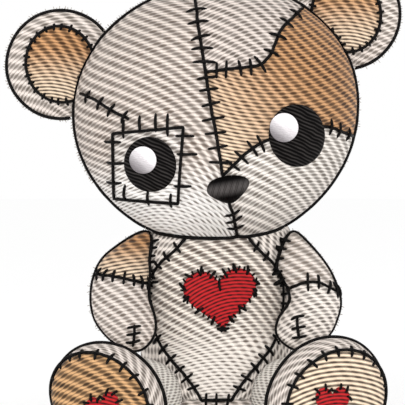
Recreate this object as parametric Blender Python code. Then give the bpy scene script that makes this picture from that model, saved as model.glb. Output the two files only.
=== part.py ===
# A threadbare patchwork teddy bear, seated with its legs stretched forward.
# Metres, +Z up. The bear faces -Y and its origin is the middle of its flat seat.
# Left and right are as an onlooker sees them from the front.

import math

import bmesh
import bpy
from mathutils import Matrix, Vector

mm = 0.001

# Cloth, trims and the clearance between neighbouring pieces
cloth = 1.2 * mm
felt = 1.0 * mm
eye_felt = 1.8 * mm
gap = 0.3 * mm
sliver = 0.01 * mm

# Torso: a stuffed egg with a flat seat
torso_width = 84 * mm
torso_depth = 76 * mm
torso_height = 128 * mm
torso_seat_cut = 5 * mm
torso_shoulder_swell = 0.10
torso_chest_slim = 0.14
torso_corner = 3.4
seat_seam_height = 25 * mm
side_seam_back = 6 * mm

# Head: a stuffed ball, wider at the brow, with a low soft muzzle. The muzzle's place is in units
# of the head's half height.
head_width = 155 * mm
head_depth = 124 * mm
head_height = 141 * mm
head_brow = 0.04
head_tilt = math.radians(-10)
head_forward = 8 * mm
neck_sink = 20 * mm
muzzle_rise = 7 * mm
muzzle_spread = 27 * mm
muzzle_tall = 21 * mm
muzzle_place = -0.547

# Ears: padded rounds sewn into the side seam of the head
ear_radius = 30 * mm
ear_thick = 14 * mm
ear_sewn_in = 16.6 * mm
ear_angle = math.radians(30)
ear_back = 4 * mm
ear_pad_width = 37 * mm
ear_pad_height = 41 * mm

# Eyes, glints and nose
left_eye_width = 27.7 * mm
left_eye_height = 29.2 * mm
right_eye_width = 30.2 * mm
right_eye_height = 33.0 * mm
left_glint = 14.4 * mm
right_glint = 15.2 * mm
nose_thick = 4 * mm
nose_width = 22.6 * mm
nose_height = 15.0 * mm

# Arms: stuffed mittens that hang from the shoulders to the thighs. An arm's middle line lies arm_outset
# out from the torso's side at the shoulder's depth, so the shoulder stays pressed to the torso.
arm_length = 63.5 * mm
arm_depth = 29 * mm
shoulder_drop = 13 * mm
arm_lean = 14 * mm
arm_forward = 24 * mm
arm_outset = 1.48 * mm

# Legs: stuffed tubes that end in tilted oval feet with upright soles. The ankle's start and end,
# the foot seam and the sole's rim are places along the leg, from its middle (0) to the sole (1).
leg_length = 97 * mm
leg_width = 45 * mm
left_foot_size = (69 * mm, 58 * mm)
right_foot_size = (72 * mm, 61 * mm)
foot_turn = math.radians(45)
foot_corner = 6.0
ankle_start = 0.1
ankle_end = 0.75
hip_spread = 28 * mm
hip_height = 24 * mm
hip_back = 1 * mm
leg_splay = math.radians(19.5)
foot_seam_place = 0.62
sole_rim_place = 0.74
foot_press = 1.5 * mm
sole_pad_size = (58 * mm, 49 * mm)
sole_pad_turn = math.radians(34)
sole_pad_place = (2 * mm, -1 * mm)

# Hearts
belly_heart_width = 39.5 * mm
belly_heart_height = 32 * mm
belly_heart_aside = 2 * mm
belly_heart_drop = 49.5 * mm
sole_heart_width = 19 * mm
sole_heart_height = 19 * mm
left_sole_heart_place = (3.5 * mm, -4.5 * mm)
left_sole_heart_turn = math.radians(20)
right_sole_heart_place = (-2 * mm, -2.5 * mm)
right_sole_heart_turn = math.radians(0)

# Mesh density: one value each for round and for end-to-end divisions
head_divisions = (24, 16)
torso_divisions = (20, 14)
arm_divisions = (12, 12)
leg_divisions = (16, 12)
ear_divisions = (16, 8)
outline_points = 18
heart_points = 24
crease_angle = math.radians(40)

# Seams on the head, in units of its half width and half height
midline_seam = [(-0.01, 1.1), (-0.026, 0.3), (-0.035, -0.46), (-0.01, -0.8), (0.003, -1.1)]
crown_seam = [(-0.06, 0.322), (0.05, 0.317), (0.26, 0.3), (0.345, 0.306), (0.43, 0.37),
              (0.535, 0.54), (0.68, 0.66), (0.9, 0.82)]
cheek_seam = [(-0.08, -0.492), (0.03, -0.41), (0.18, -0.306), (0.32, -0.26), (0.53, -0.243),
              (0.72, -0.233), (0.88, -0.33), (1.15, -0.46)]

# Places on the head, in the same units
left_eye_place = (-0.506, -0.285)
right_eye_place = (0.508, -0.263)
left_glint_place = (-0.547, -0.243)
right_glint_place = (0.427, -0.187)
nose_place = (-0.012, -0.585)
eye_patch_corners = [(-0.79, -0.49), (-0.36, -0.6), (-0.235, -0.055), (-0.71, -0.01)]

# Belly seam: height above the seat and half width, from the neck to the seat seam
belly_seam = [(125 * mm, 8 * mm), (110 * mm, 18.5 * mm), (98 * mm, 31 * mm), (89 * mm, 36 * mm),
              (79 * mm, 37.2 * mm), (66 * mm, 36 * mm), (55 * mm, 31.5 * mm), (46 * mm, 24.5 * mm),
              (36 * mm, 15.5 * mm), (20 * mm, 5 * mm)]

# Arm shape from shoulder (1) to paw (-1): place along the arm, sideways shift, half width
left_arm_shape = [(1.0, -3.6 * mm, 12.5 * mm), (0.6, 6.2 * mm, 15.1 * mm), (0.3, 9.0 * mm, 15.8 * mm),
                  (-0.1, 10.2 * mm, 15.9 * mm), (-0.47, 7.2 * mm, 18.7 * mm), (-0.75, 4.2 * mm, 19.4 * mm),
                  (-1.0, 1.7 * mm, 18.0 * mm)]
right_arm_shape = [(1.0, 0.0 * mm, 9.0 * mm), (0.65, 2.4 * mm, 13.5 * mm), (0.42, 4.0 * mm, 15.6 * mm),
                   (0.2, 7.8 * mm, 14.2 * mm), (-0.15, 11.2 * mm, 14.0 * mm), (-0.48, 6.8 * mm, 18.4 * mm),
                   (-0.75, 4.2 * mm, 21.0 * mm), (-1.0, 4.0 * mm, 19.0 * mm)]

# Elbow seams: sideways shift from the torso's side and place along the arm
left_elbow_seam = [(36 * mm, 0.36), (24 * mm, 0.30), (10 * mm, 0.26), (-4 * mm, 0.14), (-18 * mm, -0.02)]
right_elbow_seam = [(36 * mm, -0.2), (22.8 * mm, 0.02), (13.6 * mm, 0.17), (8.3 * mm, 0.19),
                    (0.7 * mm, 0.12), (-4.1 * mm, 0.02), (-18 * mm, -0.3)]

# Nose outline, in units of half its width and height, going round
nose_outline = [(-1.0, 0.12), (-0.72, 0.82), (0.1, 1.0), (0.8, 0.72), (1.0, 0.2), (0.62, -0.5),
                (0.0, -1.0), (-0.68, -0.5)]

cream = (0.56, 0.50, 0.44)
white_cream = (0.66, 0.62, 0.57)
brown = (0.42, 0.25, 0.13)
tan = (0.60, 0.47, 0.33)
red = (0.35, 0.02, 0.02)
black = (0.02, 0.02, 0.02)
white = (0.85, 0.85, 0.86)
wool = (0.80, 0.78, 0.74)


def clear_scene():
    for old in list(bpy.data.objects):
        bpy.data.objects.remove(old)


def blend_along(shape, place, column):
    """A smooth value along a table of (place, value, ...), whose places fall from first to last."""
    if place >= shape[0][0]:
        return shape[0][column]
    for i in range(len(shape) - 1):
        high, low = shape[i], shape[i + 1]
        if place >= low[0]:
            before = shape[max(i - 1, 0)]
            after = shape[min(i + 2, len(shape) - 1)]
            t = (high[0] - place) / (high[0] - low[0])
            a, b, c, d = before[column], high[column], low[column], after[column]
            return b + 0.5 * t * (c - a + t * (2 * a - 5 * b + 4 * c - d + t * (3 * (b - c) + d - a)))
    return shape[-1][column]


def through_points(points, steps):
    """A smooth closed outline through a few points."""
    count = len(points)
    out = []
    for i in range(count):
        a, b, c, d = (Vector(points[(i + k) % count]) for k in (-1, 0, 1, 2))
        for step in range(steps):
            t = step / steps
            out.append(b + 0.5 * t * (c - a + t * (2 * a - 5 * b + 4 * c - d + t * (3 * (b - c) + d - a))))
    return out


def squared(along, corner):
    """Half width left at a place from -1 to 1, for a form whose ends are squarer the larger corner is."""
    return max(1 - abs(along) ** corner, 0) ** (1 / corner)


# Body forms. Each turns a point of the unit sphere into a point of the body's outer cloth.

def torso_point(unit):
    half_height = (torso_height + torso_seat_cut) / 2
    middle = torso_height - half_height
    ring = squared(unit.z, torso_corner)
    swell = 1 + torso_shoulder_swell * max(unit.z, 0) ** 2
    around = Vector((unit.x, unit.y)).normalized() if ring > 0 else Vector((0, 0))
    depth = torso_depth / 2 * (1 - torso_chest_slim * max(unit.z, 0))
    x = torso_width / 2 * swell * ring * around.x
    y = depth * ring * around.y
    return Vector((x, y, max(middle + half_height * unit.z, 0)))


def head_frame():
    centre = Vector((0, -head_forward, torso_height + head_height / 2 - neck_sink))
    return Matrix.Translation(centre) @ Matrix.Rotation(head_tilt, 4, "Y")


def head_point(unit):
    x = head_width / 2 * unit.x * (1 + head_brow * unit.z)
    y = head_depth / 2 * unit.y
    z = head_height / 2 * unit.z
    below = z - muzzle_place * head_height / 2
    muzzle = muzzle_rise * math.exp(-((x / muzzle_spread) ** 2 + (below / muzzle_tall) ** 2))
    return head_frame() @ Vector((x, y - muzzle * max(-unit.y, 0), z))


def torso_half_width(forward):
    """The torso's half width at its middle height, a distance forward of its middle."""
    return torso_width / 2 * math.sqrt(1 - (forward / (torso_depth / 2)) ** 2)


def arm_middle(side):
    aside = torso_half_width(arm_forward - arm_lean) + arm_outset
    return Vector((side * aside, -arm_forward, torso_height - shoulder_drop - arm_length / 2))


def arm_point(side, unit):
    shape = left_arm_shape if side < 0 else right_arm_shape
    x = side * blend_along(shape, unit.z, 1) + blend_along(shape, unit.z, 2) * unit.x
    y = arm_lean * unit.z + arm_depth / 2 * unit.y
    return arm_middle(side) + Vector((x, y, arm_length / 2 * unit.z))


def foot_size(side):
    return left_foot_size if side < 0 else right_foot_size


def foot_half_height(side):
    """How far the tilted oval of the foot reaches down from its middle."""
    long, short = foot_size(side)
    return math.hypot(long / 2 * math.sin(foot_turn), short / 2 * math.cos(foot_turn))


def leg_frame(side):
    """Origin half way along the leg, +Z out through the sole, +X to the onlooker's right, +Y up."""
    ankle = foot_half_height(side) - foot_press
    rise = math.asin((ankle - hip_height) / leg_length)
    flat = math.cos(rise)
    out = Vector((side * math.sin(leg_splay) * flat, -math.cos(leg_splay) * flat, math.sin(rise)))
    across = Vector((0, 0, 1)).cross(out).normalized()
    up = out.cross(across)
    hip = Vector((side * hip_spread, hip_back, hip_height))
    frame = Matrix((across, up, out)).transposed().to_4x4()
    return Matrix.Translation(hip + out * leg_length / 2) @ frame


def leg_point(side, unit):
    if unit.z > 0:
        ring = squared(unit.z, foot_corner)
    else:
        ring = math.sqrt(max(1 - unit.z ** 2, 0))
    flare = min(max((unit.z - ankle_start) / (ankle_end - ankle_start), 0), 1)
    flare = flare * flare * (3 - 2 * flare)
    around = Vector((unit.x, unit.y)).normalized() if ring > 0 else Vector((0, 0))
    angle = math.atan2(around.y, around.x) - side * foot_turn
    long, short = foot_size(side)
    oval = Vector((long / 2 * math.cos(angle), short / 2 * math.sin(angle)))
    oval.rotate(Matrix.Rotation(side * foot_turn, 2))
    edge = (around * leg_width / 2).lerp(oval, flare) * ring
    point = leg_frame(side) @ Vector((edge.x, edge.y, leg_length / 2 * unit.z))
    return Vector((point.x, point.y, max(point.z, 0)))


def ear_frame(side):
    edge = Vector((side * math.cos(ear_angle) * head_width / 2, 0, math.sin(ear_angle) * head_height / 2))
    centre = edge + edge.normalized() * (ear_radius - ear_sewn_in) + Vector((0, ear_back, 0))
    return head_frame() @ Matrix.Translation(centre) @ Matrix.Rotation(math.radians(90), 4, "X")


def ear_point(side, unit):
    return ear_frame(side) @ Vector((ear_radius * unit.x, ear_radius * unit.y, ear_thick / 2 * unit.z))


def form(place, divisions, grow, *side):
    """A closed round solid of one body, with every face moved out by grow, or in where it is negative."""
    bm = bmesh.new()
    bmesh.ops.create_uvsphere(bm, u_segments=divisions[0], v_segments=divisions[1], radius=1)
    for vert in bm.verts:
        vert.co = place(*side, vert.co.copy())
    bmesh.ops.triangulate(bm, faces=bm.faces)
    bm.normal_update()
    bmesh.ops.recalc_face_normals(bm, faces=bm.faces)
    bm.normal_update()
    moves = [vert.normal * vert.calc_shell_factor() * grow for vert in bm.verts]
    for vert, move in zip(bm.verts, moves):
        vert.co += move
    return to_object(bm, "form")


def torso(grow):
    return form(torso_point, torso_divisions, grow)


def head(grow):
    return form(head_point, head_divisions, grow)


def arm(side, grow):
    return form(arm_point, arm_divisions, grow, side)


def leg(side, grow):
    return form(leg_point, leg_divisions, grow, side)


def ear(side, grow):
    return form(ear_point, ear_divisions, grow, side)


def to_object(bm, name):
    mesh = bpy.data.meshes.new(name)
    bm.to_mesh(mesh)
    bm.free()
    made = bpy.data.objects.new(name, mesh)
    bpy.context.scene.collection.objects.link(made)
    return made


def carve(target, operation, cutters):
    """Apply exact Booleans to the target and use up the cutters."""
    for cutter in cutters:
        modifier = target.modifiers.new("cut", "BOOLEAN")
        modifier.operation = operation
        modifier.object = cutter
        depsgraph = bpy.context.evaluated_depsgraph_get()
        depsgraph.update()
        mesh = bpy.data.meshes.new_from_object(target.evaluated_get(depsgraph))
        target.modifiers.clear()
        target.data = mesh
        bpy.data.objects.remove(cutter)
    drop_slivers(target.data)
    return target


def drop_slivers(mesh):
    """Merge the points that a cut leaves almost on top of each other."""
    bm = bmesh.new()
    bm.from_mesh(mesh)
    bmesh.ops.remove_doubles(bm, verts=bm.verts, dist=sliver)
    bmesh.ops.dissolve_degenerate(bm, edges=bm.edges, dist=sliver)
    bm.to_mesh(mesh)
    bm.free()


def minus(target, *cutters):
    return carve(target, "DIFFERENCE", cutters)


def inside(target, cutter):
    return carve(target, "INTERSECT", [cutter])


def prism(outline, frame, low, high):
    """An outline in a frame's X-Y plane, extruded from low to high along its Z."""
    bm = bmesh.new()
    face = bm.faces.new([bm.verts.new((p[0], p[1], low)) for p in outline])
    raised = bmesh.ops.extrude_face_region(bm, geom=[face])
    top = [e for e in raised["geom"] if isinstance(e, bmesh.types.BMVert)]
    bmesh.ops.translate(bm, verts=top, vec=(0, 0, high - low))
    bmesh.ops.transform(bm, matrix=frame, verts=bm.verts)
    bm.normal_update()
    bmesh.ops.recalc_face_normals(bm, faces=bm.faces)
    return to_object(bm, "prism")


def seam_blade(line, frame, low, high):
    """A wall one gap thick along a seam line in a frame's X-Y plane: the slit between two panels."""
    bm = bmesh.new()
    rows = []
    for i, point in enumerate(line):
        ahead = Vector(line[min(i + 1, len(line) - 1)]) - Vector(line[max(i - 1, 0)])
        aside = Vector((-ahead.y, ahead.x)).normalized() * gap / 2
        rows.append([bm.verts.new((point[0] + k * aside.x, point[1] + k * aside.y, low)) for k in (-1, 1)])
    strip = [bm.faces.new((a[0], a[1], b[1], b[0])) for a, b in zip(rows, rows[1:])]
    raised = bmesh.ops.extrude_face_region(bm, geom=strip)
    top = [e for e in raised["geom"] if isinstance(e, bmesh.types.BMVert)]
    bmesh.ops.translate(bm, verts=top, vec=(0, 0, high - low))
    bmesh.ops.transform(bm, matrix=frame, verts=bm.verts)
    bm.normal_update()
    bmesh.ops.recalc_face_normals(bm, faces=bm.faces)
    return to_object(bm, "blade")


def front_view(centre_frame):
    """The frame whose X is across, Y is up and Z runs forward out of the bear's front."""
    return centre_frame @ Matrix.Rotation(math.radians(90), 4, "X")


def ellipse(width, height, centre=(0, 0), turn=0):
    points = []
    for i in range(outline_points):
        angle = 2 * math.pi * i / outline_points
        point = Vector((width / 2 * math.cos(angle), height / 2 * math.sin(angle)))
        point.rotate(Matrix.Rotation(turn, 2))
        points.append(Vector(centre) + point)
    return points


def heart(width, height, centre, turn=0):
    """The usual heart curve, scaled to its width and height and turned about its middle."""
    points = []
    for i in range(heart_points):
        t = 2 * math.pi * i / heart_points
        x = math.sin(t) ** 3
        y = (13 * math.cos(t) - 5 * math.cos(2 * t) - 2 * math.cos(3 * t) - math.cos(4 * t) + 2.5) / 29
        point = Vector((x * width / 2, y * height))
        point.rotate(Matrix.Rotation(turn, 2))
        points.append(Vector(centre) + point)
    return points


def name_piece(piece, name, colour, roughness=0.9):
    """Give a finished piece its name, its own plain material and smooth shading."""
    piece.name = name
    piece.data.name = name
    material = bpy.data.materials.new(name)
    material.use_nodes = True
    shader = material.node_tree.nodes["Principled BSDF"]
    shader.inputs["Base Color"].default_value = (*colour, 1)
    shader.inputs["Roughness"].default_value = roughness
    shader.inputs["Metallic"].default_value = 0.0
    piece.data.materials.clear()
    piece.data.materials.append(material)
    piece.data.shade_smooth()
    piece.data.set_sharp_from_angle(angle=crease_angle)
    return piece


def separate_panels(skin, panels):
    """Split a slit skin into its loose panels; each takes the name whose reference point is nearest."""
    bm = bmesh.new()
    bm.from_mesh(skin.data)
    left = set(bm.verts)
    islands = []
    while left:
        island = {left.pop()}
        edge_of = list(island)
        while edge_of:
            vert = edge_of.pop()
            for edge in vert.link_edges:
                other = edge.other_vert(vert)
                if other in left:
                    left.remove(other)
                    island.add(other)
                    edge_of.append(other)
        islands.append(island)
    for name, (colour, reference) in panels.items():
        near = min(islands, key=lambda island: min((v.co - reference).length for v in island))
        part = bm.copy()
        keep = {v.index for v in near}
        part.verts.ensure_lookup_table()
        drop = [v for v in part.verts if v.index not in keep]
        bmesh.ops.delete(part, geom=drop, context="VERTS")
        name_piece(to_object(part, name), name, colour)
    bm.free()
    bpy.data.objects.remove(skin)


def applique(name, outline, frame, body, low, thick, colour, roughness=0.9, start=0, clear_of=()):
    """A flat trim that lies on a body: the part of a layer of the body inside an outline.

    body(grow) gives the body's form; the layer starts at low above it and from start along the frame."""
    reach = head_width
    layer = inside(body(low + thick), prism(outline, frame, start, reach))
    return name_piece(minus(layer, body(low), *clear_of), name, colour, roughness)


def on_head(place):
    return (place[0] * head_width / 2, place[1] * head_height / 2)


def make_head():
    frame = front_view(head_frame())
    reach = head_width
    slits = [seam_blade([on_head(p) for p in midline_seam], frame, -reach, reach)]
    slits += [seam_blade([on_head(p) for p in line], frame, 0, reach) for line in (crown_seam, cheek_seam)]
    across = [(-reach, 0), (reach, 0)]
    side_frame = head_frame()
    slits.append(seam_blade(across, side_frame, -reach, reach))
    skin = minus(head(0), head(-cloth), *slits)

    def at(x, y, z):
        return head_frame() @ Vector((x * head_width / 2, y * head_depth / 2, z * head_height / 2))

    separate_panels(skin, {
        "face_left_panel": (cream, at(-0.5, -0.87, 0)),
        "crown_panel": (white_cream, at(0.2, -0.8, 0.6)),
        "face_brown_panel": (brown, at(0.5, -0.85, 0.1)),
        "cheek_panel": (white_cream, at(0.3, -0.8, -0.5)),
        "head_back_left": (cream, at(-0.5, 0.87, 0)),
        "head_back_right": (cream, at(0.5, 0.87, 0)),
    })
    name_piece(head(-cloth - gap), "head_stuffing", wool)


def make_face():
    frame = front_view(head_frame())
    corners = [on_head(corner) for corner in eye_patch_corners]
    applique("eye_patch", corners, frame, head, gap, felt, cream)
    over_patch = felt + 2 * gap
    for name, place, width, height, base in (
        ("eye_left", left_eye_place, left_eye_width, left_eye_height, over_patch),
        ("eye_right", right_eye_place, right_eye_width, right_eye_height, gap),
    ):
        applique(name, ellipse(width, height, on_head(place)), frame, head, base, eye_felt, black, 0.6)
    for name, place, size, base in (
        ("eye_left_glint", left_glint_place, left_glint, over_patch),
        ("eye_right_glint", right_glint_place, right_glint, gap),
    ):
        low = base + eye_felt + gap
        applique(name, ellipse(size, size, on_head(place)), frame, head, low, felt, white, 0.4)
    centre = Vector(on_head(nose_place))
    outline = [centre + Vector((p.x * nose_width / 2, p.y * nose_height / 2))
               for p in through_points(nose_outline, 2)]
    applique("nose", outline, frame, head, gap, nose_thick, black, 0.5)


def make_ears():
    for label, side in (("left", -1), ("right", 1)):
        name_piece(minus(ear(side, 0), head(gap)), "ear_" + label, cream)
        pad = ellipse(ear_pad_width, ear_pad_height)
        applique("ear_" + label + "_pad", pad, ear_frame(side), lambda grow, s=side: ear(s, grow), gap, felt,
                 brown, start=felt, clear_of=[head(gap)])


def make_torso():
    frame = front_view(Matrix())
    reach = head_width
    line_left = [(-half, height) for height, half in belly_seam]
    line_right = [(half, height) for height, half in belly_seam]
    slits = [
        seam_blade(line_left, frame, 0, reach),
        seam_blade(line_right, frame, 0, reach),
        seam_blade([(-reach, seat_seam_height), (reach, seat_seam_height)], frame, -reach, reach),
        seam_blade([(-reach, side_seam_back), (reach, side_seam_back)],
                   Matrix.Translation((0, 0, seat_seam_height + gap / 2)), -gap, reach),
        seam_blade([(0, side_seam_back), (0, reach)],
                   Matrix.Translation((0, 0, seat_seam_height + gap / 2)), -gap, reach),
    ]
    skin = minus(torso(0), torso(-cloth), head(gap), *slits)
    wide = torso_width / 2
    deep = torso_depth / 2
    mid = torso_height * 0.55
    separate_panels(skin, {
        "belly_panel": (cream, Vector((0, -deep, mid))),
        "body_side_left": (white_cream, Vector((-wide, 0, mid))),
        "body_side_right": (white_cream, Vector((wide, 0, mid))),
        "body_back_left": (cream, Vector((-wide * 0.6, deep * 0.8, mid))),
        "body_back_right": (cream, Vector((wide * 0.6, deep * 0.8, mid))),
        "seat_panel": (cream, Vector((0, 0, 0))),
    })
    name_piece(minus(torso(-cloth - gap), head(gap)), "torso_stuffing", wool)
    place = (belly_heart_aside, torso_height - belly_heart_drop)
    outline = heart(belly_heart_width, belly_heart_height, place)
    applique("belly_heart", outline, frame, torso, gap, felt, red)


def make_arm(label, side, seam, upper_colour):
    middle = arm_middle(side)
    frame = front_view(Matrix())
    line = [(middle.x + side * shift, middle.z + place * arm_length / 2) for shift, place in seam]

    def neighbours():
        return [torso(gap), head(gap), leg(side, gap)]

    slit = seam_blade(line, frame, -head_width, head_width)
    skin = minus(arm(side, 0), arm(side, -cloth), slit, *neighbours())
    separate_panels(skin, {
        "arm_" + label + "_upper": (upper_colour, arm_point(side, Vector((side * 0.7, 0, 0.7)))),
        "arm_" + label + "_lower": (white_cream, arm_point(side, Vector((side * 0.7, 0, -0.7)))),
    })
    name_piece(minus(arm(side, -cloth - gap), *neighbours()), "arm_" + label + "_stuffing", wool)


def make_leg(label, side, pad_colour):
    frame = leg_frame(side)
    reach = head_width

    def body(grow):
        return leg(side, grow)

    seam = foot_seam_place * leg_length / 2
    slit = seam_blade([(-reach, seam), (reach, seam)], front_view(frame), -reach, reach)
    skin = minus(body(0), body(-cloth), slit, torso(gap))
    separate_panels(skin, {
        "leg_" + label: (white_cream, frame @ Vector((0, leg_width / 2, 0))),
        "foot_" + label: (cream, frame @ Vector((0, 0, leg_length / 2))),
    })
    name_piece(minus(body(-cloth - gap), torso(gap)), "leg_" + label + "_stuffing", wool)
    rim = sole_rim_place * leg_length / 2
    pad = ellipse(*sole_pad_size, (side * sole_pad_place[0], sole_pad_place[1]), side * sole_pad_turn)
    applique("sole_" + label + "_pad", pad, frame, body, gap, felt, pad_colour, start=rim)
    place = left_sole_heart_place if side < 0 else right_sole_heart_place
    turn = left_sole_heart_turn if side < 0 else right_sole_heart_turn
    outline = heart(sole_heart_width, sole_heart_height, place, turn)
    applique("sole_" + label + "_heart", outline, frame, body, felt + 2 * gap, felt, red, start=rim)


def main():
    clear_scene()
    make_head()
    make_face()
    make_ears()
    make_torso()
    make_arm("left", -1, left_elbow_seam, brown)
    make_arm("right", 1, right_elbow_seam, cream)
    make_leg("left", -1, brown)
    make_leg("right", 1, tan)


main()
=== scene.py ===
import bisect
import math
import random

import bmesh
import bpy
from mathutils import Matrix, Vector, noise
from mathutils.bvhtree import BVHTree
from mathutils.kdtree import KDTree


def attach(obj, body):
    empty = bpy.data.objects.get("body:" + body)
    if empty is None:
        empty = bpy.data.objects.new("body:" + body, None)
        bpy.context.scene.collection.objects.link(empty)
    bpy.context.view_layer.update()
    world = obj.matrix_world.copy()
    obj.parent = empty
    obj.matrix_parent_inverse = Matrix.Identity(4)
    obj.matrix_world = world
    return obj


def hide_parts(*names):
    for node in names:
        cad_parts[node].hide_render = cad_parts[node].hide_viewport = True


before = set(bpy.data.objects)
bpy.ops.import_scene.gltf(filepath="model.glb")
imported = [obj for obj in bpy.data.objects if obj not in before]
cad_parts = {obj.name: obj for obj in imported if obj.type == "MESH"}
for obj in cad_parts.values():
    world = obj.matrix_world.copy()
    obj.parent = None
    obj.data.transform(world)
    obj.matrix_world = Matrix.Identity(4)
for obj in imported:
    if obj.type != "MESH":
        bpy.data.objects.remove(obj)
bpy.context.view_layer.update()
mm = 0.001
chance = random.Random(11)
labelOf = {-1: "left", 1: "right"}
castFrom = 200 * mm  # how far in front of a view's middle its rays start

# Cloth and thread: what every piece is cut from and sewn with
cloth = {"thick": 1.2 * mm, "felt": 1.0 * mm, "eyeFelt": 1.8 * mm, "noseThick": 4 * mm, "gap": 0.3 * mm,
         "lump": 0.7 * mm, "lumpSize": 21 * mm, "groove": 0.9 * mm, "grooveWidth": 1.9 * mm,
         "edgeGap": 0.15 * mm, "flatNearFloor": 7 * mm}
# lifts are of a thread's middle line above the cloth; edge and trimEdge are shares of the usual thickness
thread = {"radius": 0.88 * mm, "step": 1.5 * mm, "sunk": -0.68 * mm, "piped": 0.72 * mm,
          "headProud": 0.55 * mm, "edge": 1.2, "trimEdge": 0.95, "overTrim": 0.15 * mm,
          "stitchRadius": 0.82 * mm, "stitchLift": 1.0 * mm, "stitchDive": 0.75 * mm, "offFloor": 0.05 * mm}
seamLift = thread["sunk"] + cloth["groove"]


def squared(along, corner):
    # how wide a form still is at a place along it, for ends between round and square
    return max(1 - abs(along) ** corner, 0) ** (1 / corner)


def smoothStep(value):
    value = min(max(value, 0), 1)
    return value * value * (3 - 2 * value)


def smoothLine(points, steps=10, closed=False):
    # a soft curve through a few points
    count = len(points)
    out = []
    for i in range(count if closed else count - 1):
        near = [(i + k) % count if closed else min(max(i + k, 0), count - 1) for k in (-1, 0, 1, 2)]
        a, b, c, d = (Vector(points[k]) for k in near)
        for step in range(steps):
            t = step / steps
            out.append(b + 0.5 * t * (c - a + t * (2 * a - 5 * b + 4 * c - d + t * (3 * (b - c) + d - a))))
    if not closed:
        out.append(Vector(points[-1]))
    return out


def curveThrough(points):
    # a function that gives the curve's other values at a place along its first one
    line = sorted((tuple(p) for p in smoothLine(points)), key=lambda p: p[0])
    keys = [p[0] for p in line]

    def at(place, column=1):
        i = min(max(bisect.bisect(keys, place), 1), len(keys) - 1)
        low, high = line[i - 1], line[i]
        share = (place - low[0]) / (high[0] - low[0])
        return low[column] + share * (high[column] - low[column])

    return at


# The body's forms, with the CAD model's own sizes and rules
torso = {"width": 84 * mm, "depth": 76 * mm, "height": 128 * mm, "seatCut": 5 * mm, "swell": 0.10,
         "slim": 0.14, "corner": 3.4, "shoulder": 0.12, "shoulderFrom": 0.6, "shoulderRise": 0.25,
         "seatSeam": 25 * mm, "sideSeam": 6 * mm, "cuts": 44}
torsoHalf = (torso["height"] + torso["seatCut"]) / 2
torsoMiddle = torso["height"] - torsoHalf


def shoulderAt(along, aside):
    # the cloth at the right shoulder is fuller than the plain form
    rise = smoothStep((along - torso["shoulderFrom"]) / torso["shoulderRise"])
    return 1 + torso["shoulder"] * rise * min(max(aside, 0), 1)


def torsoPoint(unit):
    ring = squared(unit.z, torso["corner"])
    swell = 1 + torso["swell"] * max(unit.z, 0) ** 2
    around = Vector((unit.x, unit.y)).normalized() if ring > 0 else Vector((0, 0))
    depth = torso["depth"] / 2 * (1 - torso["slim"] * max(unit.z, 0))
    wide = torso["width"] / 2 * swell * shoulderAt(unit.z, around.x)
    return Vector((wide * ring * around.x, depth * ring * around.y,
                   max(torsoMiddle + torsoHalf * unit.z, 0)))


def torsoSpan(height):
    # the torso's half width and half depth at a height
    along = (height - torsoMiddle) / torsoHalf
    ring = squared(along, torso["corner"])
    return (torso["width"] / 2 * (1 + torso["swell"] * max(along, 0) ** 2) * ring,
            torso["depth"] / 2 * (1 - torso["slim"] * max(along, 0)) * ring)


def insideTorso(point, grow):
    if abs(point.z - torsoMiddle) >= torsoHalf + grow:
        return False
    wide, deep = torsoSpan(min(point.z, torso["height"] - 0.01 * mm))
    wide *= shoulderAt((point.z - torsoMiddle) / torsoHalf, point.x / wide)
    return (point.x / (wide + grow)) ** 2 + (point.y / (deep + grow)) ** 2 < 1


head = {"width": 155 * mm, "depth": 124 * mm, "height": 141 * mm, "brow": 0.04, "tilt": math.radians(-10),
        "forward": 8 * mm, "neckSink": 20 * mm, "muzzle": 7 * mm, "muzzleSpread": 27 * mm,
        "muzzleTall": 21 * mm, "muzzlePlace": -0.547, "cuts": 70,
        "scar": [(-71, 24.1), (-62.7, 18.3), (-55.4, 12), (-46.4, 5.4)]}
headRise = torso["height"] + head["height"] / 2 - head["neckSink"]
headFrame = Matrix.Translation((0, -head["forward"], headRise)) @ Matrix.Rotation(head["tilt"], 4, "Y")
headBack = headFrame.inverted()
headView = headFrame @ Matrix.Rotation(math.radians(90), 4, "X")
worldView = Matrix.Rotation(math.radians(90), 4, "X")


def muzzleAt(x, z):
    below = z - head["muzzlePlace"] * head["height"] / 2
    return head["muzzle"] * math.exp(-((x / head["muzzleSpread"]) ** 2 + (below / head["muzzleTall"]) ** 2))


def headPoint(unit):
    x = head["width"] / 2 * unit.x * (1 + head["brow"] * unit.z)
    z = head["height"] / 2 * unit.z
    y = head["depth"] / 2 * unit.y - muzzleAt(x, z) * max(-unit.y, 0)
    return headFrame @ Vector((x, y, z))


def insideHead(point, grow):
    local = headBack @ point
    up = local.z / (head["height"] / 2 + grow)
    side = local.x / (head["width"] / 2 * (1 + head["brow"] * up) + grow)
    left = 1 - up * up - side * side
    if left <= 0:
        return False
    deep = (head["depth"] / 2 + grow) * math.sqrt(left)
    front = deep + muzzleAt(local.x, local.z) * math.sqrt(left)
    return -front < local.y < deep


arms = {"length": 63.5 * mm, "depth": 29 * mm, "drop": 13 * mm, "lean": 14 * mm, "forward": 24 * mm,
        "outset": 9.44 * mm, "cuts": 30}
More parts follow.
